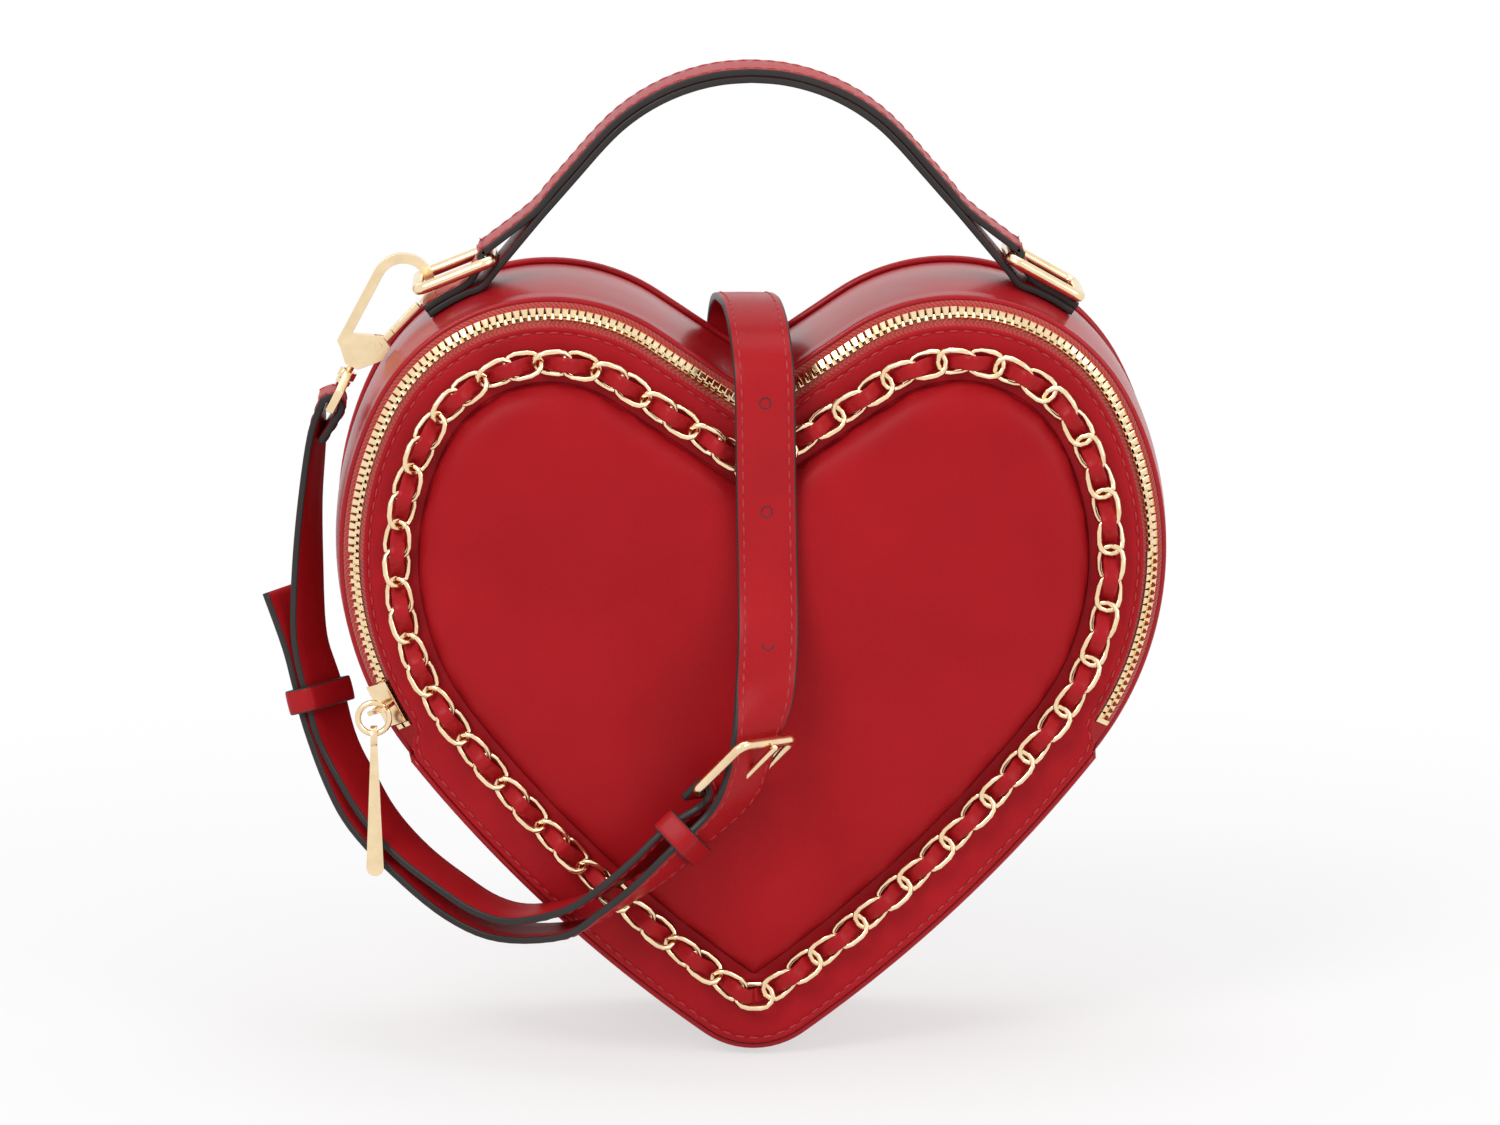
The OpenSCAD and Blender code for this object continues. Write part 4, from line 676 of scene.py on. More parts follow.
bm = bmesh.new()
levels = [(-PUFF_INSET, PANEL_TOP - 0.5), (-PUFF_INSET, PANEL_TOP + 0.6),
          (-PUFF_INSET - 0.5, PUFF_TOP - 4.6), (-PUFF_INSET - 2.4, PUFF_TOP - 2.2),
          (-PUFF_INSET - 5.6, PUFF_TOP - 0.8)]
grow_shell(bm, [middle_ring(out, front) for out, front in levels])
puff = new_piece("padded_heart", bm, [soft_leather])
remesh = puff.modifiers.new("even faces", "REMESH")
remesh.mode = "VOXEL"
remesh.voxel_size = 2.0 * MM
bpy.context.view_layer.objects.active = puff


def bake(piece):
    """Applies a piece's modifiers to its mesh."""
    graph = bpy.context.evaluated_depsgraph_get()
    mesh = bpy.data.meshes.new_from_object(piece.evaluated_get(graph))
    piece.modifiers.clear()
    old = piece.data
    piece.data = mesh
    mesh.name = old.name


bake(puff)
before = [v.co.copy() for v in puff.data.vertices]
held = puff.vertex_groups.new(name="held")
held.add([v.index for v in puff.data.vertices if v.co.y > -(PANEL_TOP + 0.9) * MM], 1.0, "ADD")
swell = puff.modifiers.new("swell", "CLOTH")
for label, value in (("vertex_group_mass", "held"), ("quality", 6), ("mass", 0.3),
                     ("tension_stiffness", 25), ("compression_stiffness", 25),
                     ("bending_stiffness", 2), ("use_pressure", True),
                     ("uniform_pressure_force", 4)):
    setattr(swell.settings, label, value)
swell.settings.effector_weights.gravity = 0
swell.point_cache.frame_start, swell.point_cache.frame_end = 1, SWELL_FRAMES
for step in range(1, SWELL_FRAMES + 1):
    bpy.context.scene.frame_set(step)
bake(puff)
bpy.context.scene.frame_set(1)
moved = 0.0
for vert, start in zip(puff.data.vertices, before):
    travel = vert.co - start
    if travel.length > SWELL_LIMIT * MM:
        vert.co = start + travel.normalized() * SWELL_LIMIT * MM
    vert.co.y = max(vert.co.y, -PUFF_CAP * MM)
    moved = max(moved, (vert.co - start).length)
bm = bmesh.new()
bm.from_mesh(puff.data)
for _ in range(SMOOTHINGS):
    bmesh.ops.smooth_vert(bm, verts=[v for v in bm.verts if v.co.y < -(PANEL_TOP + 0.5) * MM],
                          factor=0.5, use_axis_x=True, use_axis_y=True, use_axis_z=True)
bm.to_mesh(puff.data)
bm.free()
if not puff.data.materials:
    puff.data.materials.append(soft_leather)
finer = puff.modifiers.new("finer", "SUBSURF")
finer.levels = finer.render_levels = 1
bake(puff)
for face in puff.data.polygons:
    face.use_smooth = True
dress(puff, ["front_padding_lower", "front_padding_upper"], FLAP_FOLD)
print("padding swelled by up to", round(moved / MM, 2), "mm;", len(puff.data.polygons), "faces")

# %% [markdown]
# ## Chain and lace
# A curb chain lies round the padded heart, and a strip of leather is woven through it, over one
# link joint and under the next. Each link is a round wire bent to a stadium and twisted along its
# length, so neighbours lie flat in each other.

# %% Walk along the chain's path
CHAIN_INSET, LINK_WIRE, LINK_W, LINK_TILT, LINK_COUNT = 13.6, 1.4, 7.4, 22.0, 76
LACE_SWING, LACE_T, LACE_W = 2.3, 0.8, 3.6
CHAIN_F = PANEL_TOP + LACE_SWING + LACE_T / 2 + 0.1
LINE_LEN = NOTCH_RUN + CHAIN_INSET * math.tan(math.radians(NOTCH_SLOPE))
LOBE_LEN = (LOBE_R - CHAIN_INSET) * math.radians(LOBE_TURN)
SIDE_LEN = (SIDE_R - CHAIN_INSET) * math.radians(A_SIDE - A_FLANK)
FLANK_LEN = (FLANK_R - CHAIN_INSET) * math.radians(A_FLANK - A_TIP)
TIP_LEN = (TIP_R - CHAIN_INSET) * math.radians(A_TIP + 90)
HALF_LEN = LINE_LEN + LOBE_LEN + SIDE_LEN + FLANK_LEN + TIP_LEN
A_FOLD = -math.degrees(math.asin((SIDE_C.y - FOLD_Z) / (SIDE_R - CHAIN_INSET)))
FOLD_LEN = LINE_LEN + LOBE_LEN + (SIDE_R - CHAIN_INSET) * math.radians(A_SIDE - A_FOLD)
LINKS_DOWN = round(LINK_COUNT / 2 * FOLD_LEN / HALF_LEN)
LINKS_REST = LINK_COUNT // 2 - LINKS_DOWN
PITCH_UP, PITCH_LOW = FOLD_LEN / LINKS_DOWN, (HALF_LEN - FOLD_LEN) / LINKS_REST


def chain_place(s):
    """The point and the outward angle of the chain's line, at a length from the notch."""
    if s < LINE_LEN:
        foot = Vector((0, NOTCH_H - CHAIN_INSET / math.cos(math.radians(NOTCH_SLOPE))))
        return foot + s * direction(NOTCH_SLOPE), A_START
    s -= LINE_LEN
    for centre, radius, start, length in (
            (LOBE_C, LOBE_R, A_START, LOBE_LEN), (SIDE_C, SIDE_R, A_SIDE, SIDE_LEN),
            (FLANK_C, FLANK_R, A_FLANK, FLANK_LEN), (TIP_C, TIP_R, A_TIP, TIP_LEN)):
        if s < length or centre is TIP_C:
            a = start - math.degrees(s / (radius - CHAIN_INSET))
            return centre + (radius - CHAIN_INSET) * direction(a), a
        s -= length


def link_s(k):
    return k * PITCH_UP if k <= LINKS_DOWN else FOLD_LEN + (k - LINKS_DOWN) * PITCH_LOW


print("chain half length", round(HALF_LEN, 1), "pitch", round(PITCH_UP, 2), round(PITCH_LOW, 2))

# %% Link the chain
LINK_L = max(PITCH_UP, PITCH_LOW) + 2 * LINK_WIRE + 0.5
TWIST = math.radians(20)


def link_frames():
    """The wire's path in the link's own plane, as (origin, x way, y way)."""
    r = LINK_W / 2 - LINK_WIRE / 2
    run = LINK_L / 2 - LINK_WIRE / 2 - r
    turns = [math.radians(a) for a in range(-90, 91, 30)]
    right = [(run + r * math.cos(a), r * math.sin(a)) for a in turns]
    left = [(-x, -y) for x, y in right]
    points = [Vector((x, y, 0)) for x, y in right + [(0, r)] + left + [(0, -r)]]
    out = []
    for i, p in enumerate(points):
        way = (points[(i + 1) % len(points)] - points[i - 1]).normalized()
        out.append((p, way.cross(Vector((0, 0, 1))), Vector((0, 0, 1))))
    return out


def add_link(bm, point, angle, tilt, mirror):
    old = set(bm.verts)
    sweep(bm, link_frames(), circle(LINK_WIRE / 2, 8), loop=True)
    c, s = math.cos(tilt), math.sin(tilt)
    a = math.radians(angle - 90)
    for vert in (v for v in bm.verts if v not in old):
        x, y, z = vert.co / MM
        t = TWIST * x / (LINK_L / 2)
        y, z = y * math.cos(t) - z * math.sin(t), y * math.sin(t) + z * math.cos(t)
        y, z = y * c - z * s, y * s + z * c
        x, y = x * math.cos(a) - y * math.sin(a), x * math.sin(a) + y * math.cos(a)
        px = point.x + x
        vert.co = Vector((-px if mirror else px, -(CHAIN_F + z), point.y + y)) * MM


bm = bmesh.new()
for k in range(0, LINK_COUNT // 2 + 1):
    point, angle = chain_place(link_s(k))
    ends = k in (0, LINK_COUNT // 2)
    angle = {0: 90, LINK_COUNT // 2: -90}.get(k, angle)
    if ends:
        point = Vector((0, point.y))
    for mirror in ((False,) if ends else (False, True)):
        add_link(bm, point, angle, math.radians(LINK_TILT if k % 2 == 0 else -LINK_TILT), mirror)
bmesh.ops.recalc_face_normals(bm, faces=bm.faces)
chain = new_piece("curb_chain", bm, [gold])
dress(chain, ["chain_lower", "chain_upper"], FLAP_FOLD)
print("chain faces", len(chain.data.polygons))


# %% Weave the lace
def lace_frame(s):
    sign = -1 if s < 0 else 1
    point, angle = chain_place(abs(s))
    phase = abs(s) / PITCH_UP if abs(s) < FOLD_LEN else LINKS_DOWN + (abs(s) - FOLD_LEN) / PITCH_LOW
    front = CHAIN_F + sign * LACE_SWING * math.sin(math.pi * phase)
    out = direction(angle)
    if abs(s) < 0.01:
        out = Vector((0, 1.2))
    if HALF_LEN - abs(s) < 0.01:
        out = Vector((0, -1))
    return (Vector((sign * point.x, -front, point.y)), Vector((sign * out.x, 0, out.y)), FORWARD)


LACE_STEPS = 8
places = [link_s(k) + (link_s(k + 1) - link_s(k)) * j / LACE_STEPS
          for k in range(LINK_COUNT // 2) for j in range(LACE_STEPS)] + [HALF_LEN - 0.02]
lace_path = [lace_frame(-s) for s in reversed(places[1:])] + [lace_frame(s) for s in places]
lace_section = [(x * LACE_W / 2, y * LACE_T / 2) for x, y in (
    (0.85, -1), (1, -0.3), (1, 0.3), (0.85, 1), (0.4, 1.25), (-0.4, 1.25),
    (-0.85, 1), (-1, 0.3), (-1, -0.3), (-0.85, -1))]
lace = swept("woven_lace", lace_path, lace_section, [strap_leather])
dress(lace, ["lace_lower", "lace_upper"], FLAP_FOLD)
print("lace faces", len(lace.data.polygons))

# %% [markdown]
# ## Zip
# The zip runs round the top in the groove between the gusset and the front. Its two tapes are a
# herringbone cloth, and its teeth are small metal blocks in two rows that reach between each other.
# The front tape and row go with the flap above the fold.

# %% Sweep the tapes
ZIP_LEAN, ROW_FROM_EDGE = 43, 3.5 + 0.4
LEAN_COS, LEAN_SIN = math.cos(math.radians(ZIP_LEAN)), math.sin(math.radians(ZIP_LEAN))
CHAIN_O = GUSSET_IN - 0.1 - ROW_FROM_EDGE * LEAN_COS + 0.25
ZIP_F = GUSSET_F + ROW_FROM_EDGE * LEAN_SIN + 0.35
ZIP_E = (LEAN_COS, -LEAN_SIN)
ZIP_N = (LEAN_SIN, LEAN_COS)
ROW_1, TAPE_T = 2.3, 0.6
TOOTH_REACH, TOOTH_PITCH = 1.55, 1.9
TAPE_BEND, TAPE_REAR_F = 3.9, 16.1
FRONT_TAPE_F = ZIP_F + TAPE_BEND * LEAN_SIN + 0.6


def zip_at(w, n):
    return (CHAIN_O + w * ZIP_E[0] + n * ZIP_N[0], ZIP_F + w * ZIP_E[1] + n * ZIP_N[1])


tape_out, tape_in = GUSSET_IN - 0.1, GUSSET_IN - 0.1 - TAPE_T
half_t = TAPE_T / 2
under_tooth = TOOTH_REACH - 0.4
rear_knee = zip_at(TAPE_BEND, 0)[1] - 1
rear_tape = [(tape_out, TAPE_REAR_F), (tape_out, rear_knee), zip_at(TAPE_BEND, half_t),
             zip_at(under_tooth, half_t), zip_at(under_tooth, -half_t), zip_at(TAPE_BEND, -half_t),
             (tape_in, rear_knee), (tape_in, TAPE_REAR_F)]
knee = zip_at(-TAPE_BEND, 0)[0] - 1
tape_edge = -10 - ROW_1
front_tape = [(tape_edge, FRONT_TAPE_F), (knee, FRONT_TAPE_F), zip_at(-TAPE_BEND, -half_t),
              zip_at(-under_tooth, -half_t), zip_at(-under_tooth, half_t),
              zip_at(-TAPE_BEND, half_t), (knee, FRONT_TAPE_F + TAPE_T),
              (tape_edge, FRONT_TAPE_F + TAPE_T)]
zip_frames = heart_frames(over_top(A_ZIP_END))
rear = swept("tape_rear", zip_frames, rear_tape, [tape_cloth])
dress(rear, ["zip_tape_rear"], "body")
front = swept("tape_front", zip_frames, front_tape, [tape_cloth])
dress(front, ["zip_tape_front", "zip_tape_front_ends"], FLAP_FOLD)
print("tape faces", len(rear.data.polygons) + len(front.data.polygons))


# %% Set the teeth
def zip_walk(pitch):
    """Even places along the line between the rows, as outline stations."""
    fine = over_top(A_TEETH_END, 1.0)
    line = [Vector((p.x + CHAIN_O * n.x, p.y + CHAIN_O * n.y)) for p, n in fine]
    return [(fine[i][0].lerp(fine[i + 1][0], share),
             fine[i][1].lerp(fine[i + 1][1], share).normalized())
            for i, share in walk(line, pitch, pitch / 2)]


def add_tooth(bm, station, side):
    """A tooth: a block on the tape that narrows to a rounded head over the middle line."""
    origin, out, forward = heart_frame(station)
    way = out.cross(forward).normalized()
    e_way = ZIP_E[0] * out + ZIP_E[1] * forward
    n_way = ZIP_N[0] * out + ZIP_N[1] * forward
    centre = origin + CHAIN_O * out + ZIP_F * forward
    made = bmesh.ops.create_cube(bm, size=1.0)["verts"]
    for vert in made:
        head = vert.co.x < 0
        along = (0.8 if head else 1.1) * vert.co.y
        thick = (1.3 if head else 1.7) * vert.co.z
        over = -0.25 if head else TOOTH_REACH
        vert.co = (centre + side * over * e_way + along * way + thick * n_way) * MM
    edges = list({e for v in made for e in v.link_edges})
    bmesh.ops.bevel(bm, geom=edges, offset=0.22 * MM, segments=1, affect="EDGES", profile=0.5,
                    material=-1)


for name, side, node_names, carried in (
        ("teeth_rear", 1, ["zip_teeth_rear"], "body"),
        ("teeth_front", -1, ["zip_teeth_front", "zip_teeth_front_ends"], FLAP_FOLD)):
    bm = bmesh.new()
    for i, station in enumerate(zip_walk(TOOTH_PITCH / 2)):
        if i % 2 == (0 if side > 0 else 1):
            add_tooth(bm, station, side)
    bmesh.ops.recalc_face_normals(bm, faces=bm.faces)
    teeth = new_piece(name, bm, [gold], smooth=False)
    dress(teeth, node_names, carried)
    print(name, len(teeth.data.polygons), "faces")

# %% [markdown]
# ## Strap paths
# The shoulder strap is one long strip. Its stations are the near edge of the strap and the way its
# face looks, as in the solids. A smooth curve goes through them, and each sample becomes a frame for
# the sweep: the middle of the strap, the way across it, and the way out of its face.

# %% Write the strap's stations
STRAP_W, STRAP_T = 14.5, 1.8
STRAP_HALF = STRAP_T / 2
BUCKLE_WIRE = 1.2


def unit(v):
    return Vector(v).normalized()


buckle_x, buckle_y = unit((45, -38, 55)), unit((55, 58, -5))
buckle_out = -buckle_x.cross(buckle_y)
buckle_at = Vector((-8.3, -51.3, 68.3))
fold_room, eye_room = BUCKLE_WIRE + 0.2, 1.6
hook_x, hook_z = unit((0.47, 0, 0.88)), unit((0.88, 0, -0.47))
RING_L, RING_LEFT_LEAN = 19.2, math.radians(21.7)
ring_at = Vector((62.871, 190.137))
ring_bar = Vector((-ring_at.x - RING_L * math.cos(RING_LEFT_LEAN), 0,
                   ring_at.y - RING_L * math.sin(RING_LEFT_LEAN)))
hook_at = ring_bar - 19.6 * hook_x - 4.95 * hook_z
eye_at = hook_at - 16.3 * hook_x
eye_bend, hinge_bend = eye_room + STRAP_HALF, fold_room + STRAP_HALF
hinge_edge = buckle_at - STRAP_W / 2 * buckle_y


def turn(a):
    return math.cos(math.radians(a)), math.sin(math.radians(a))


eye_loop = [((eye_at.x + eye_bend * turn(a)[0], -STRAP_W / 2, eye_at.z + eye_bend * turn(a)[1]),
             (turn(a)[0], 0, turn(a)[1])) for a in (-35, 10, 50, 90, 130, 165)]
hinge_loop = []
for a in (90, 50, 10, -30, -70, -100):
    way = turn(a)[0] * buckle_x + turn(a)[1] * buckle_out
    hinge_loop.append((tuple(hinge_edge + hinge_bend * way), tuple(way)))
main_run = [
    ((-107.2, -7.2, 146.5), (-0.98, 0.2, 0)), ((-109.6, -8.5, 131), (-0.95, 0.3, 0)),
    ((-111.2, -10, 115.3), (-0.9, 0.42, 0)), ((-111.8, -12, 100.1), (-0.85, 0.5, 0)),
    ((-110.6, -14, 91), (-0.82, 0.56, -0.05)), ((-108.4, -15.6, 82.5), (-0.8, 0.58, -0.1)),
    ((-105.9, -17.5, 73.4), (-0.78, 0.56, -0.2)), ((-100.9, -22, 64.4), (-0.75, 0.5, -0.43)),
    ((-95.2, -26, 55.8), (-0.68, 0.4, -0.6)), ((-87, -32, 47.7), (-0.55, 0.3, -0.78)),
    ((-77.6, -38, 41.6), (-0.42, 0.2, -0.88)), ((-68.2, -43, 36.4), (-0.25, 0.12, -0.95)),
    ((-59, -47.5, 34.8), (0, 0.05, -1)), ((-46.8, -53, 38.5), (0.3, -0.1, -0.95)),
    ((-38, -56, 44.6), (0.5, -0.25, -0.83)), ((-29.6, -57.3, 52.2), (0.55, -0.4, -0.73)),
    ((-21.5, -57, 60.2), (0.5, -0.48, -0.72)),
    (tuple(hinge_edge + hinge_bend * buckle_out - 3.4 * buckle_x), tuple(buckle_out))]
buckle_run = ([((-104.6, -STRAP_W / 2, 145), (1, 0, 0))] + eye_loop + main_run + hinge_loop
              + [(tuple(hinge_edge - hinge_bend * buckle_out - 6 * buckle_x), tuple(-buckle_out))])
tongue_lift = fold_room + STRAP_T + 0.3 + STRAP_HALF + 0.8
FRONT_F = PUFF_TOP + 0.4 + STRAP_HALF


def by_buckle(along, out, face):
    return tuple(hinge_edge + along * buckle_x + out * buckle_out), tuple(face)


tongue_run = [
    ((-118.6, -9, 108.2), (-0.84, 0.5, 0)), ((-113.95, -11.6, 95.3), (-0.83, 0.55, -0.05)),
    ((-111.5, -13.6, 86), (-0.81, 0.58, -0.1)), ((-109, -15.5, 76.4), (-0.79, 0.56, -0.2)),
    ((-103.9, -21, 63.4), (-0.74, 0.5, -0.43)), ((-98, -25.7, 53.4), (-0.66, 0.4, -0.63)),
    ((-87.4, -32, 43.2), (-0.52, 0.3, -0.8)), ((-74.7, -38, 33.9), (-0.38, 0.15, -0.92)),
    ((-62.2, -44, 29.8), (-0.05, 0.05, -1)), ((-46.8, -51.5, 32), (0.3, -0.1, -0.95)),
    ((-38.1, -55.6, 38.4), (0.5, -0.25, -0.83)), ((-29.2, -58.9, 46.4), (0.54, -0.38, -0.75)),
    ((-20.6, -60.4, 55.4), (0.5, -0.46, -0.73)),
    by_buckle(-0.3, tongue_lift, buckle_out), by_buckle(9.5, 1.4, buckle_out + 0.35 * buckle_x),
    by_buckle(17.5, -4.6, buckle_out + 0.7 * buckle_x - 0.15 * buckle_y),
    ((-5, -FRONT_F - 14, FOLD_Z + 2), (0.2, -0.9, 0.38))]
strap_x, crest_z, back_y = 3 - STRAP_W / 2, NOTCH_H + 20.3, 28.7
back_x, back_top = strap_x - 6, crest_z - 40
front_run = [
    ((strap_x, -FRONT_F - 6.3, FOLD_Z + 12.5), (0.03, -1, 0.25)),
    ((strap_x, -FRONT_F - 1.7, FOLD_Z + 25), (0, -1, 0.05)),
    ((strap_x - 0.3, -FRONT_F, FOLD_Z + 45), (0, -1, 0)),
    ((strap_x - 0.5, -FRONT_F, FOLD_Z + 60), (0, -1, 0)),
    ((strap_x - 0.7, -FRONT_F + 0.5, FOLD_Z + 72), (0, -1, 0.1)),
    ((strap_x - 1.4, -FRONT_F + 6, crest_z - 6.5), (0, -0.8, 0.6)),
    ((strap_x - 2.4, -FRONT_F + 19, crest_z - 1.2), (0, -0.25, 0.97)),
    ((strap_x - 3.6, -FRONT_F + 36, crest_z - 0.2), (0, 0.02, 1)),
    ((strap_x - 5, back_y - 6.2, crest_z - 4.8), (0, 0.45, 0.89)),
    ((back_x, back_y + 2, crest_z - 16), (0, 0.95, 0.3)),
    ((back_x, back_y + 0.6, crest_z - 28), (0, 1, 0)),
    ((back_x, back_y, back_top), (0, 1, 0))]
long_run = tongue_run + front_run
print("stations:", len(buckle_run), "and", len(long_run))


# %% Turn stations into frames
STEPS = 5


def spline(points, steps):
    """A smooth curve through points, in this many steps from each to the next."""
    n = len(points) - 1
    out = []
    for i in range(n):
        a, b = points[max(i - 1, 0)], points[i]
        c, d = points[i + 1], points[min(i + 2, n)]
        for u in [j / steps for j in range(steps)]:
            out.append(0.5 * (2 * b + u * (c - a) + u * u * (2 * a - 5 * b + 4 * c - d)
                              + u ** 3 * (3 * b - a - 3 * c + d)))
    return out + [points[-1]]


def way_at(line, i):
    return (line[min(i + 1, len(line) - 1)] - line[max(i - 1, 0)]).normalized()


def strap_frames(run, steps=STEPS):
    edge = spline([Vector(s[0]) for s in run], steps)
    face = spline([Vector(s[1]) for s in run], steps)
    out = []
    for i in range(len(edge)):
        way = way_at(edge, i)
        normal = (face[i] - face[i].dot(way) * way).normalized()
        across = way.cross(normal)
        out.append((edge[i] + STRAP_W / 2 * across, across, normal))
    return out


def edge_paths(frames, inset, lift=STRAP_HALF, width=STRAP_W):
    """The two stitch lines of a strip, a little in from its edges, on its outer face."""
    facing = [y for _, _, y in frames]
    return [([o + side * (width / 2 - inset) * x + (lift + 0.02) * y for o, x, y in frames], facing)
            for side in (-1, 1)]


front_frames = strap_frames(long_run)
buckle_frames = strap_frames(buckle_run)
print("frames:", len(front_frames), "and", len(buckle_frames))

# %% [markdown]
# ## Shoulder strap
# The strap is made in four pieces: the buckle run that hangs from the left hook, the tongue with the front
# run, the crest over the notch, and the folded spare length behind the body. The body carries the buckle run
# and the spare length; the tongue and the crest bend between the body and the flap. Red thread runs along
# both edges of all but the spare length, and the cut sides are painted.

# %% Sweep the straps
SPLIT = (len(tongue_run) + 2) * STEPS
STITCH_INSET = 1.7
plain_section = strap_section(STRAP_W, STRAP_T)


def strap_piece(name, frames, replaced, carried, caps=(True, True)):
    piece = swept(name, frames, plain_section, [strap_leather, edge_paint], caps=caps,
                  material_of=painted_sides)
    dress(piece, replaced, carried)
    carry(stitch_piece(name + "_stitches", edge_paths(frames, STITCH_INSET)), carried)


tongue_blend = ("body", "flap", (-0.004, -0.04, 0.084), (0.00095, -0.04, 0.1005))
strap_piece("strap_tongue", front_frames[:SPLIT + 1], ["strap_tongue_end", "strap_front_run"],
            tongue_blend, (True, False))
crest_blend = ("body", "flap", (0, 0.024, 0.16), (0, -0.036, 0.16))
strap_piece("strap_over_notch", front_frames[SPLIT:], ["strap_crest"], crest_blend, (False, True))
strap_piece("strap_buckle_side", buckle_frames, ["strap_buckle_run"], "body")

spare = []
run_gap, back_low, bight_high, last_low = 5.0, 40.0, 132.0, 96.0
middle_x = back_x + STRAP_W / 2
eye_reach = eye_room + STRAP_HALF
eye_y, eye_z = back_y + 2 * run_gap + eye_reach, last_low - 2


def yz_frame(y, z, way_y, way_z):
    return Vector((middle_x, y, z)), Vector((1, 0, 0)), Vector((0, way_y, way_z))


def straight(y, heights, face):
    spare.extend(yz_frame(y, z, face, 0) for z in heights)


def half_turn(y, z, radius, down, face):
    """Half a turn round a line across the strap, under the line or over it."""
    for a in range(0, 181, 20):
        c, s = turn(a)
        spare.append(yz_frame(y - radius * c, z - down * radius * s, face * c, face * down * s))


straight(back_y, (back_top - 0.3, 110, 80, 50), 1)
half_turn(back_y + run_gap / 2, back_low, run_gap / 2, 1, 1)
straight(back_y + run_gap, (60, 90, 120), -1)
half_turn(back_y + 1.5 * run_gap, bight_high, run_gap / 2, -1, -1)
straight(back_y + 2 * run_gap, (125, 110, eye_z + 1), 1)
half_turn(eye_y, eye_z, eye_reach, 1, -1)
straight(eye_y + eye_reach, (eye_z + 8,), 1)
spare_strap = swept("strap_spare", spare, plain_section, [strap_leather, edge_paint],
                    material_of=painted_sides)
dress(spare_strap, ["strap_back_run"], "body")
print("spare strap frames:", len(spare))


# %% Punch the holes, with painted shade in them
HOLE_SIDES, HOLE_R = 16, 1.2


def add_shaded_hole(bm, at, normal, radius):
    """A punched hole: a charcoal dimple with a soft rim, set into the strap's face; its dark fill is painted
    shade for the hole's depth.
    """
    x_way = normal.orthogonal().normalized()
    y_way = normal.cross(x_way)
    rings = []
    for r, lift in ((radius + 0.25, 0.02), (radius, 0.05), (radius * 0.85, -0.5)):
        row = []
        for i in range(HOLE_SIDES):
            c, s = turn(360 / HOLE_SIDES * i)
            row.append(bm.verts.new((at + r * (c * x_way + s * y_way) + lift * normal) * MM))
        rings.append([bm.edges.new((row[i], row[(i + 1) % HOLE_SIDES]))
                      for i in range(HOLE_SIDES)])
    for a, b in zip(rings, rings[1:]):
        bmesh.ops.bridge_loops(bm, edges=a + b)
    bmesh.ops.holes_fill(bm, edges=rings[-1], sides=0)


bm = bmesh.new()
for z in (102.5, 132.5, 160.7):
    hanging = front_frames[(len(tongue_run) - 1) * STEPS:SPLIT + 20]
    origin, _, normal = min(hanging, key=lambda f: abs(f[0].z - z))
    add_shaded_hole(bm, origin + STRAP_HALF * normal + 0.14 * normal, normal, HOLE_R)
bmesh.ops.recalc_face_normals(bm, faces=bm.faces)
# The charcoal in the holes is painted shade, not the strap's own colour.
holes = new_piece("strap_holes_painted_shade", bm, [edge_paint])
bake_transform(holes, *tongue_blend)
print("hole faces", len(holes.data.polygons))


# %% Wrap the keepers
KEEPER_W, KEEPER_T, KEEPER_CORNER = 6.0, 1.3, 1.6


def keeper_sides(section, i, j):
    """A keeper's cut edges are painted too, and its section lies the other way round."""
    return painted_sides(section, i, j, 1, 0.3)


def keeper_piece(name, outer, inner, room, body, node_name):
    origin, across, normal = outer
    middle = (origin + inner[0]) / 2
    way = across.cross(normal).normalized()
    high = abs((inner[0] - origin).dot(normal)) + STRAP_T + 2 * room
    wide = STRAP_W + 2 * room
    w, h = wide / 2 + KEEPER_T / 2 - KEEPER_CORNER, high / 2 + KEEPER_T / 2 - KEEPER_CORNER
    path = []
    for cx, cy, start in ((w, h, 0), (-w, h, 90), (-w, -h, 180), (w, -h, 270)):
        for a in range(start, start + 91, 30):
            c, s = turn(a)
            path.append((middle + (cx + KEEPER_CORNER * c) * across
                         + (cy + KEEPER_CORNER * s) * normal, c * across + s * normal, way))
    section = [(y, x) for x, y in strap_section(KEEPER_W, KEEPER_T, 0.35)]
    piece = swept(name, path, section, [strap_leather, edge_paint], loop=True,
                  material_of=keeper_sides)
    dress(piece, [node_name], body)


CAD_STEPS = 3
first_main = len(eye_loop) + 1
cad_long = strap_frames(long_run, CAD_STEPS)
cad_buckle = strap_frames(buckle_run, CAD_STEPS)
keeper_piece("keeper_at_buckle", cad_long[12 * CAD_STEPS + 1],
             cad_buckle[(first_main + 16) * CAD_STEPS], 0.35, "body", "keeper_fixed")
keeper_piece("keeper_loose", cad_long[2 * CAD_STEPS + 1],
             cad_buckle[(first_main + 5) * CAD_STEPS], 0.7, "keeper", "keeper_sliding")
print("keepers wrapped")

# %% [markdown]
# ## Handle
# The handle is two strips of leather sewn together. At each end the inner one runs on under the
# ring's near bar, and the outer one goes over it and down through the ring, and both lie on the
# gusset as a tab. The handle tilts on these ends, so both strips bend from the body to the handle.

# %% Sweep the handle's two layers
HANDLE_W, HANDLE_T = 18.0, 1.7
ARCH_R, ARCH_A = 49.0, 48.8
HANDLE_STEPS = 4
ARCH_C = NOTCH_H + 75 - ARCH_R
leg_top = Vector((ARCH_R * turn(ARCH_A)[1], ARCH_C + ARCH_R * turn(ARCH_A)[0]))
leg_way = Vector((turn(ARCH_A)[0], -turn(ARCH_A)[1]))
leg_out = Vector((turn(ARCH_A)[1], turn(ARCH_A)[0]))


def on_lobe(radius, angle):
    return LOBE_C + radius * direction(angle)


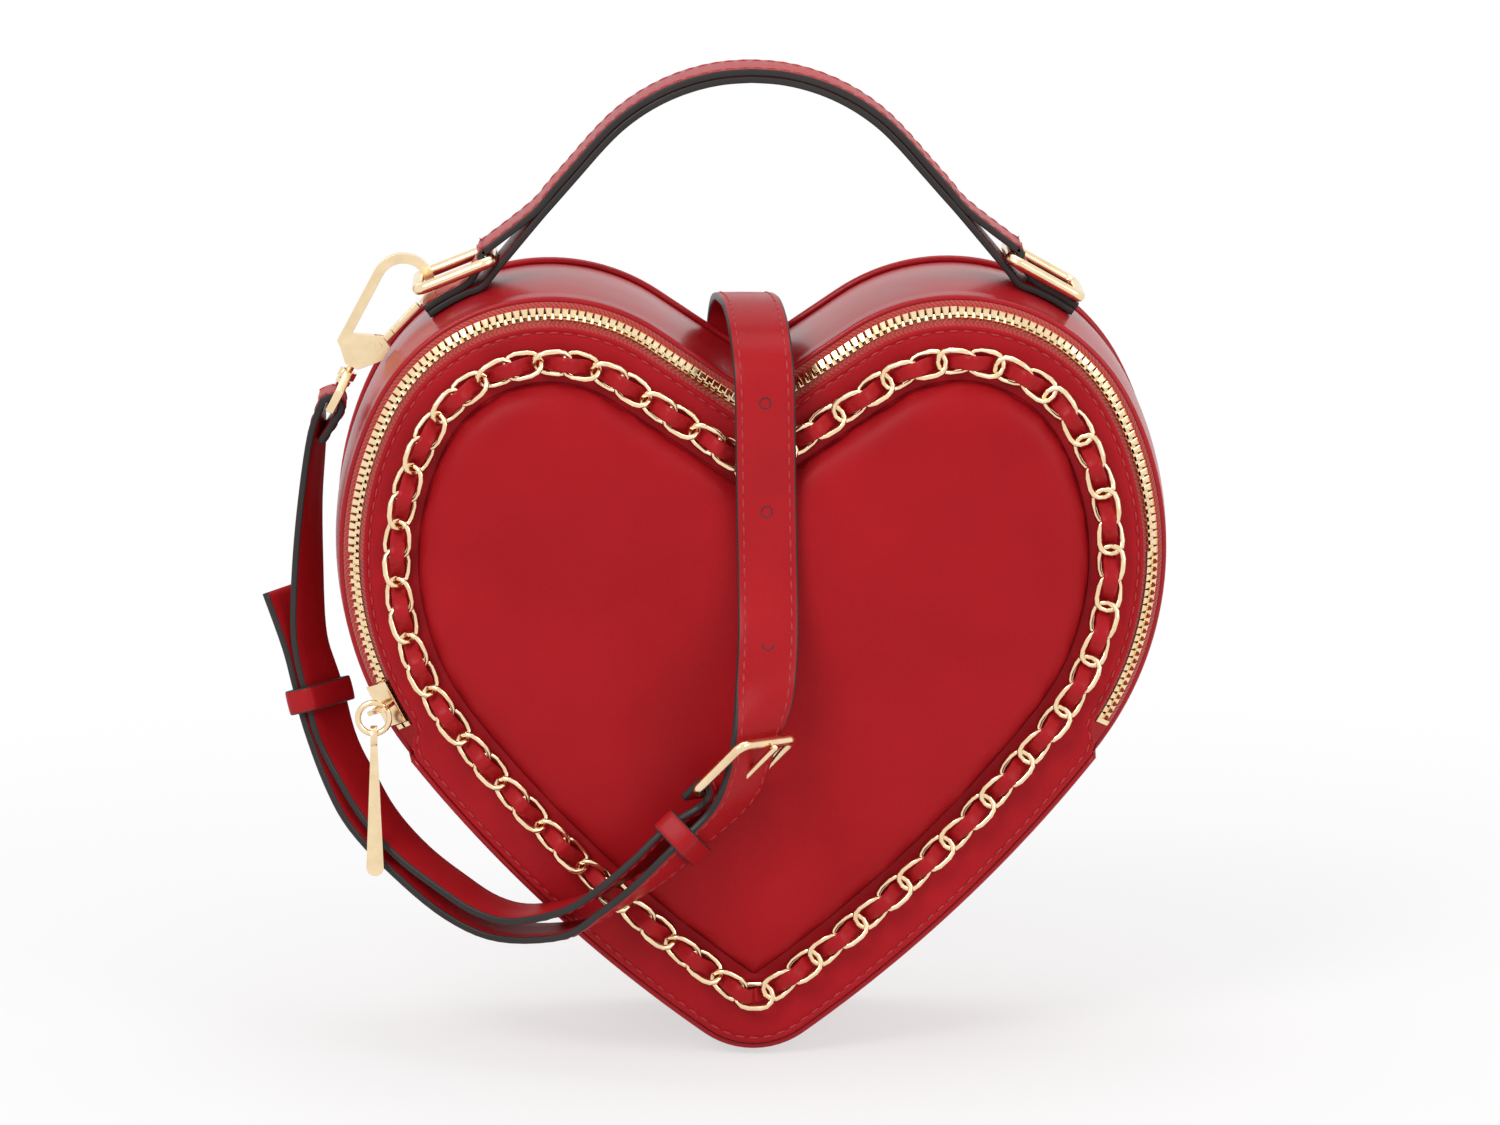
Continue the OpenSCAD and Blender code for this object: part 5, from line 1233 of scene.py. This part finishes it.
inner_end = [ring_at - 2.75 * direction(64), on_lobe(LOBE_R + 2.95, 71), on_lobe(LOBE_R + 2.9, 66),
             on_lobe(LOBE_R + 2.9, 60), on_lobe(LOBE_R + 2.9, 54)]
outer_end = ([ring_at + 2.7 * direction(a) for a in (72, 45, 18, -12)]
             + [on_lobe(LOBE_R + 5.9, 69.5), on_lobe(LOBE_R + 4.65, 65.5), on_lobe(LOBE_R + 4.6, 60),
                on_lobe(LOBE_R + 4.6, 54)])


def handle_path(lift, end_points):
    half = [Vector((0, ARCH_C)) + (ARCH_R + lift) * direction(90 - a)
            for a in [ARCH_A * i / 6 for i in range(7)]]
    half += [leg_top + d * leg_way + lift * leg_out for d in (8, 16, 23)]
    smooth = spline(half + end_points, HANDLE_STEPS)
    full = [Vector((-p.x, p.y)) for p in reversed(smooth[1:])] + smooth
    out = []
    for i, p in enumerate(full):
        way = way_at(full, i)
        normal = Vector((-way.y, 0, way.x))
        out.append((Vector((p.x, 0, p.y)), Vector((0, 1, 0)), normal))
    return out


handle_blend = ("body", "handle", (0, 0, 0.1955), (0, 0, 0.2115))
outer_frames = handle_path(HANDLE_T / 2 + 0.05, outer_end)
inner_frames = handle_path(-HANDLE_T / 2 - 0.05, inner_end)
for name, frames, replaced in (
        ("handle_outer", outer_frames, ["handle_outer_layer"]),
        ("handle_inner", inner_frames, ["handle_inner_layer", "handle_tab_left",
                                        "handle_tab_right"])):
    layer_piece = swept(name, frames, strap_section(HANDLE_W, HANDLE_T, 0.4),
                        [strap_leather, edge_paint], material_of=painted_sides)
    dress(layer_piece, replaced, handle_blend)
handle_stitches = stitch_piece("handle_stitches",
                               edge_paths(outer_frames, 2.0, HANDLE_T / 2, HANDLE_W))
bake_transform(handle_stitches, *handle_blend)
print("handle frames", len(outer_frames), "and", len(inner_frames))

# %% [markdown]
# ## Metal
# The rings, hooks, slider, pull and buckle are cast and polished, so their edges are never sharp.
# For the hooks with their gates and eyes, the slider and the pull, a copy of each solid is merged, its flat
# faces are joined again, and its hard edges are rounded with a small bevel that catches the light.

# %% Round the castings
def cast_copy(name, node_name, body, width):
    bm = bmesh.new()
    bm.from_mesh(nodes[node_name].data)
    bmesh.ops.remove_doubles(bm, verts=bm.verts, dist=1e-6)
    bmesh.ops.dissolve_limit(bm, angle_limit=math.radians(1), verts=bm.verts, edges=bm.edges)
    sharp = [e for e in bm.edges if len(e.link_faces) == 2
             and e.calc_face_angle(0) > math.radians(30)]
    bmesh.ops.bevel(bm, geom=sharp, offset=width * MM, segments=2, affect="EDGES", profile=0.5,
                    material=-1, clamp_overlap=True)
    piece = new_piece(name, bm, [gold])
    for polygon in piece.data.polygons:
        polygon.material_index = 0
    weighted = piece.modifiers.new("even shading", "WEIGHTED_NORMAL")
    weighted.keep_sharp = False
    dress(piece, [node_name], body)


castings = [
    ("hook_left_cast", "hook_body_left", "hook_left", 0.45),
    ("gate_left_cast", "hook_gate_left", "gate_left", 0.3),
    ("eye_left_cast", "hook_eye_left", "body", 0.4),
    ("hook_right_cast", "hook_body_right", "hook_right", 0.45),
    ("gate_right_cast", "hook_gate_right", "gate_right", 0.3),
    ("eye_right_cast", "hook_eye_right", "body", 0.4),
    ("slider_cast", "slider_body", "slider", 0.3), ("pull_cast", "pull_bar", "pull_bar", 0.3)]
for casting in castings:
    cast_copy(*casting)
print(len(castings), "castings rounded")

# %% [markdown]
# ## Finish the CAD nodes that stay
# Nodes whose shape is already right keep their solid and get a finish by their place in the record:
# the rings, the buckle, the linings, the boards and the small metal parts.

# %% Give the rest its finishes
finish_of = {"leather": red_leather, "leather_trim": strap_leather, "painted_edge": edge_paint,
             "zip_tape": tape_cloth, "lining": lining_cloth, "board": board_fibre, "hardware": gold}
slot_of = {s["node"]: s["material_slot"] for s in frame["record"]["subparts"]}
for name, node in nodes.items():
    if node.hide_render:
        continue
    node.data.materials.clear()
    node.data.materials.append(finish_of[slot_of[name]])
print(sum(not n.hide_render for n in nodes.values()), "CAD nodes show")

# %% [markdown]
# ## Studio
# The purse stands on a white sweep under a soft sky of light, with a large lamp at the front left
# and a weaker one at the right. The floor shows white to the camera but still takes a soft shadow.

# %% Light the stage
LAMPS_LOOK_AT = Vector((0, 0, 0.11))


def area_lamp(name, at, watts, size):
    lamp = bpy.data.lights.new(name, "AREA")
    lamp.energy, lamp.size = watts, size
    obj = bpy.data.objects.new(name, lamp)
    bpy.context.scene.collection.objects.link(obj)
    obj.location = at
    obj.rotation_euler = (LAMPS_LOOK_AT - Vector(at)).to_track_quat("-Z", "Y").to_euler()


area_lamp("key", (-0.9, -1.3, 1.3), 16, 0.9)
area_lamp("fill", (1.2, -1.0, 0.8), 7, 0.9)
area_lamp("top", (0.1, 0.3, 1.5), 8, 1.2)
world = bpy.data.worlds.new("soft studio")
world.use_nodes = True
bpy.context.scene.world = world
tree = world.node_tree
tree.nodes.clear()
ray = add(tree, "LightPath")
sky = add(tree, "Background", in_0=(1, 1, 1, 1), in_1=0.45)
white = add(tree, "Background", in_0=(1, 1, 1, 1), in_1=1.0)
seen = add(tree, "Math", operation="MAXIMUM")
pick = add(tree, "MixShader")
output = add(tree, "OutputWorld")
wire(tree, (ray, "Is Camera Ray", seen, 0), (ray, "Is Glossy Ray", seen, 1), (seen, 0, pick, 0),
     (sky, 0, pick, 1), (white, 0, pick, 2), (pick, 0, output, 0))

# %% Lay the floor
FLOOR_Z = -2.3 * MM
bm = bmesh.new()
bmesh.ops.create_grid(bm, x_segments=2, y_segments=2, size=6)
bmesh.ops.translate(bm, vec=(0, 0, FLOOR_Z), verts=bm.verts)
floor_material, tree, shader = new_material("white sweep")
set_inputs(shader, {"Base Color": (0.9, 0.9, 0.9, 1), "Roughness": 0.9, "Specular IOR Level": 0.1})
glow = add(tree, "Emission", in_0=(1, 1, 1, 1), in_1=1.0)
place = add(tree, "TexCoord")
distance = add(tree, "VectorMath", operation="LENGTH")
fade = add(tree, "MapRange", in_1=0.12, in_2=0.42, in_3=0.62, in_4=1.0)
ray = add(tree, "LightPath")
seen = add(tree, "Math", operation="MAXIMUM")
share = add(tree, "Math", operation="MULTIPLY")
mix = add(tree, "MixShader")
wire(tree, (place, "Object", distance, 0), (distance, "Value", fade, "Value"),
     (ray, "Is Camera Ray", seen, 0), (ray, "Is Glossy Ray", seen, 1), (seen, 0, share, 0),
     (fade, 0, share, 1), (share, 0, mix, 0), (shader, 0, mix, 1), (glow, 0, mix, 2),
     (mix, 0, tree.nodes["Material Output"], "Surface"))
floor = new_piece("floor", bm, [floor_material], smooth=False)
bpy.context.scene.view_settings.view_transform = "Standard"
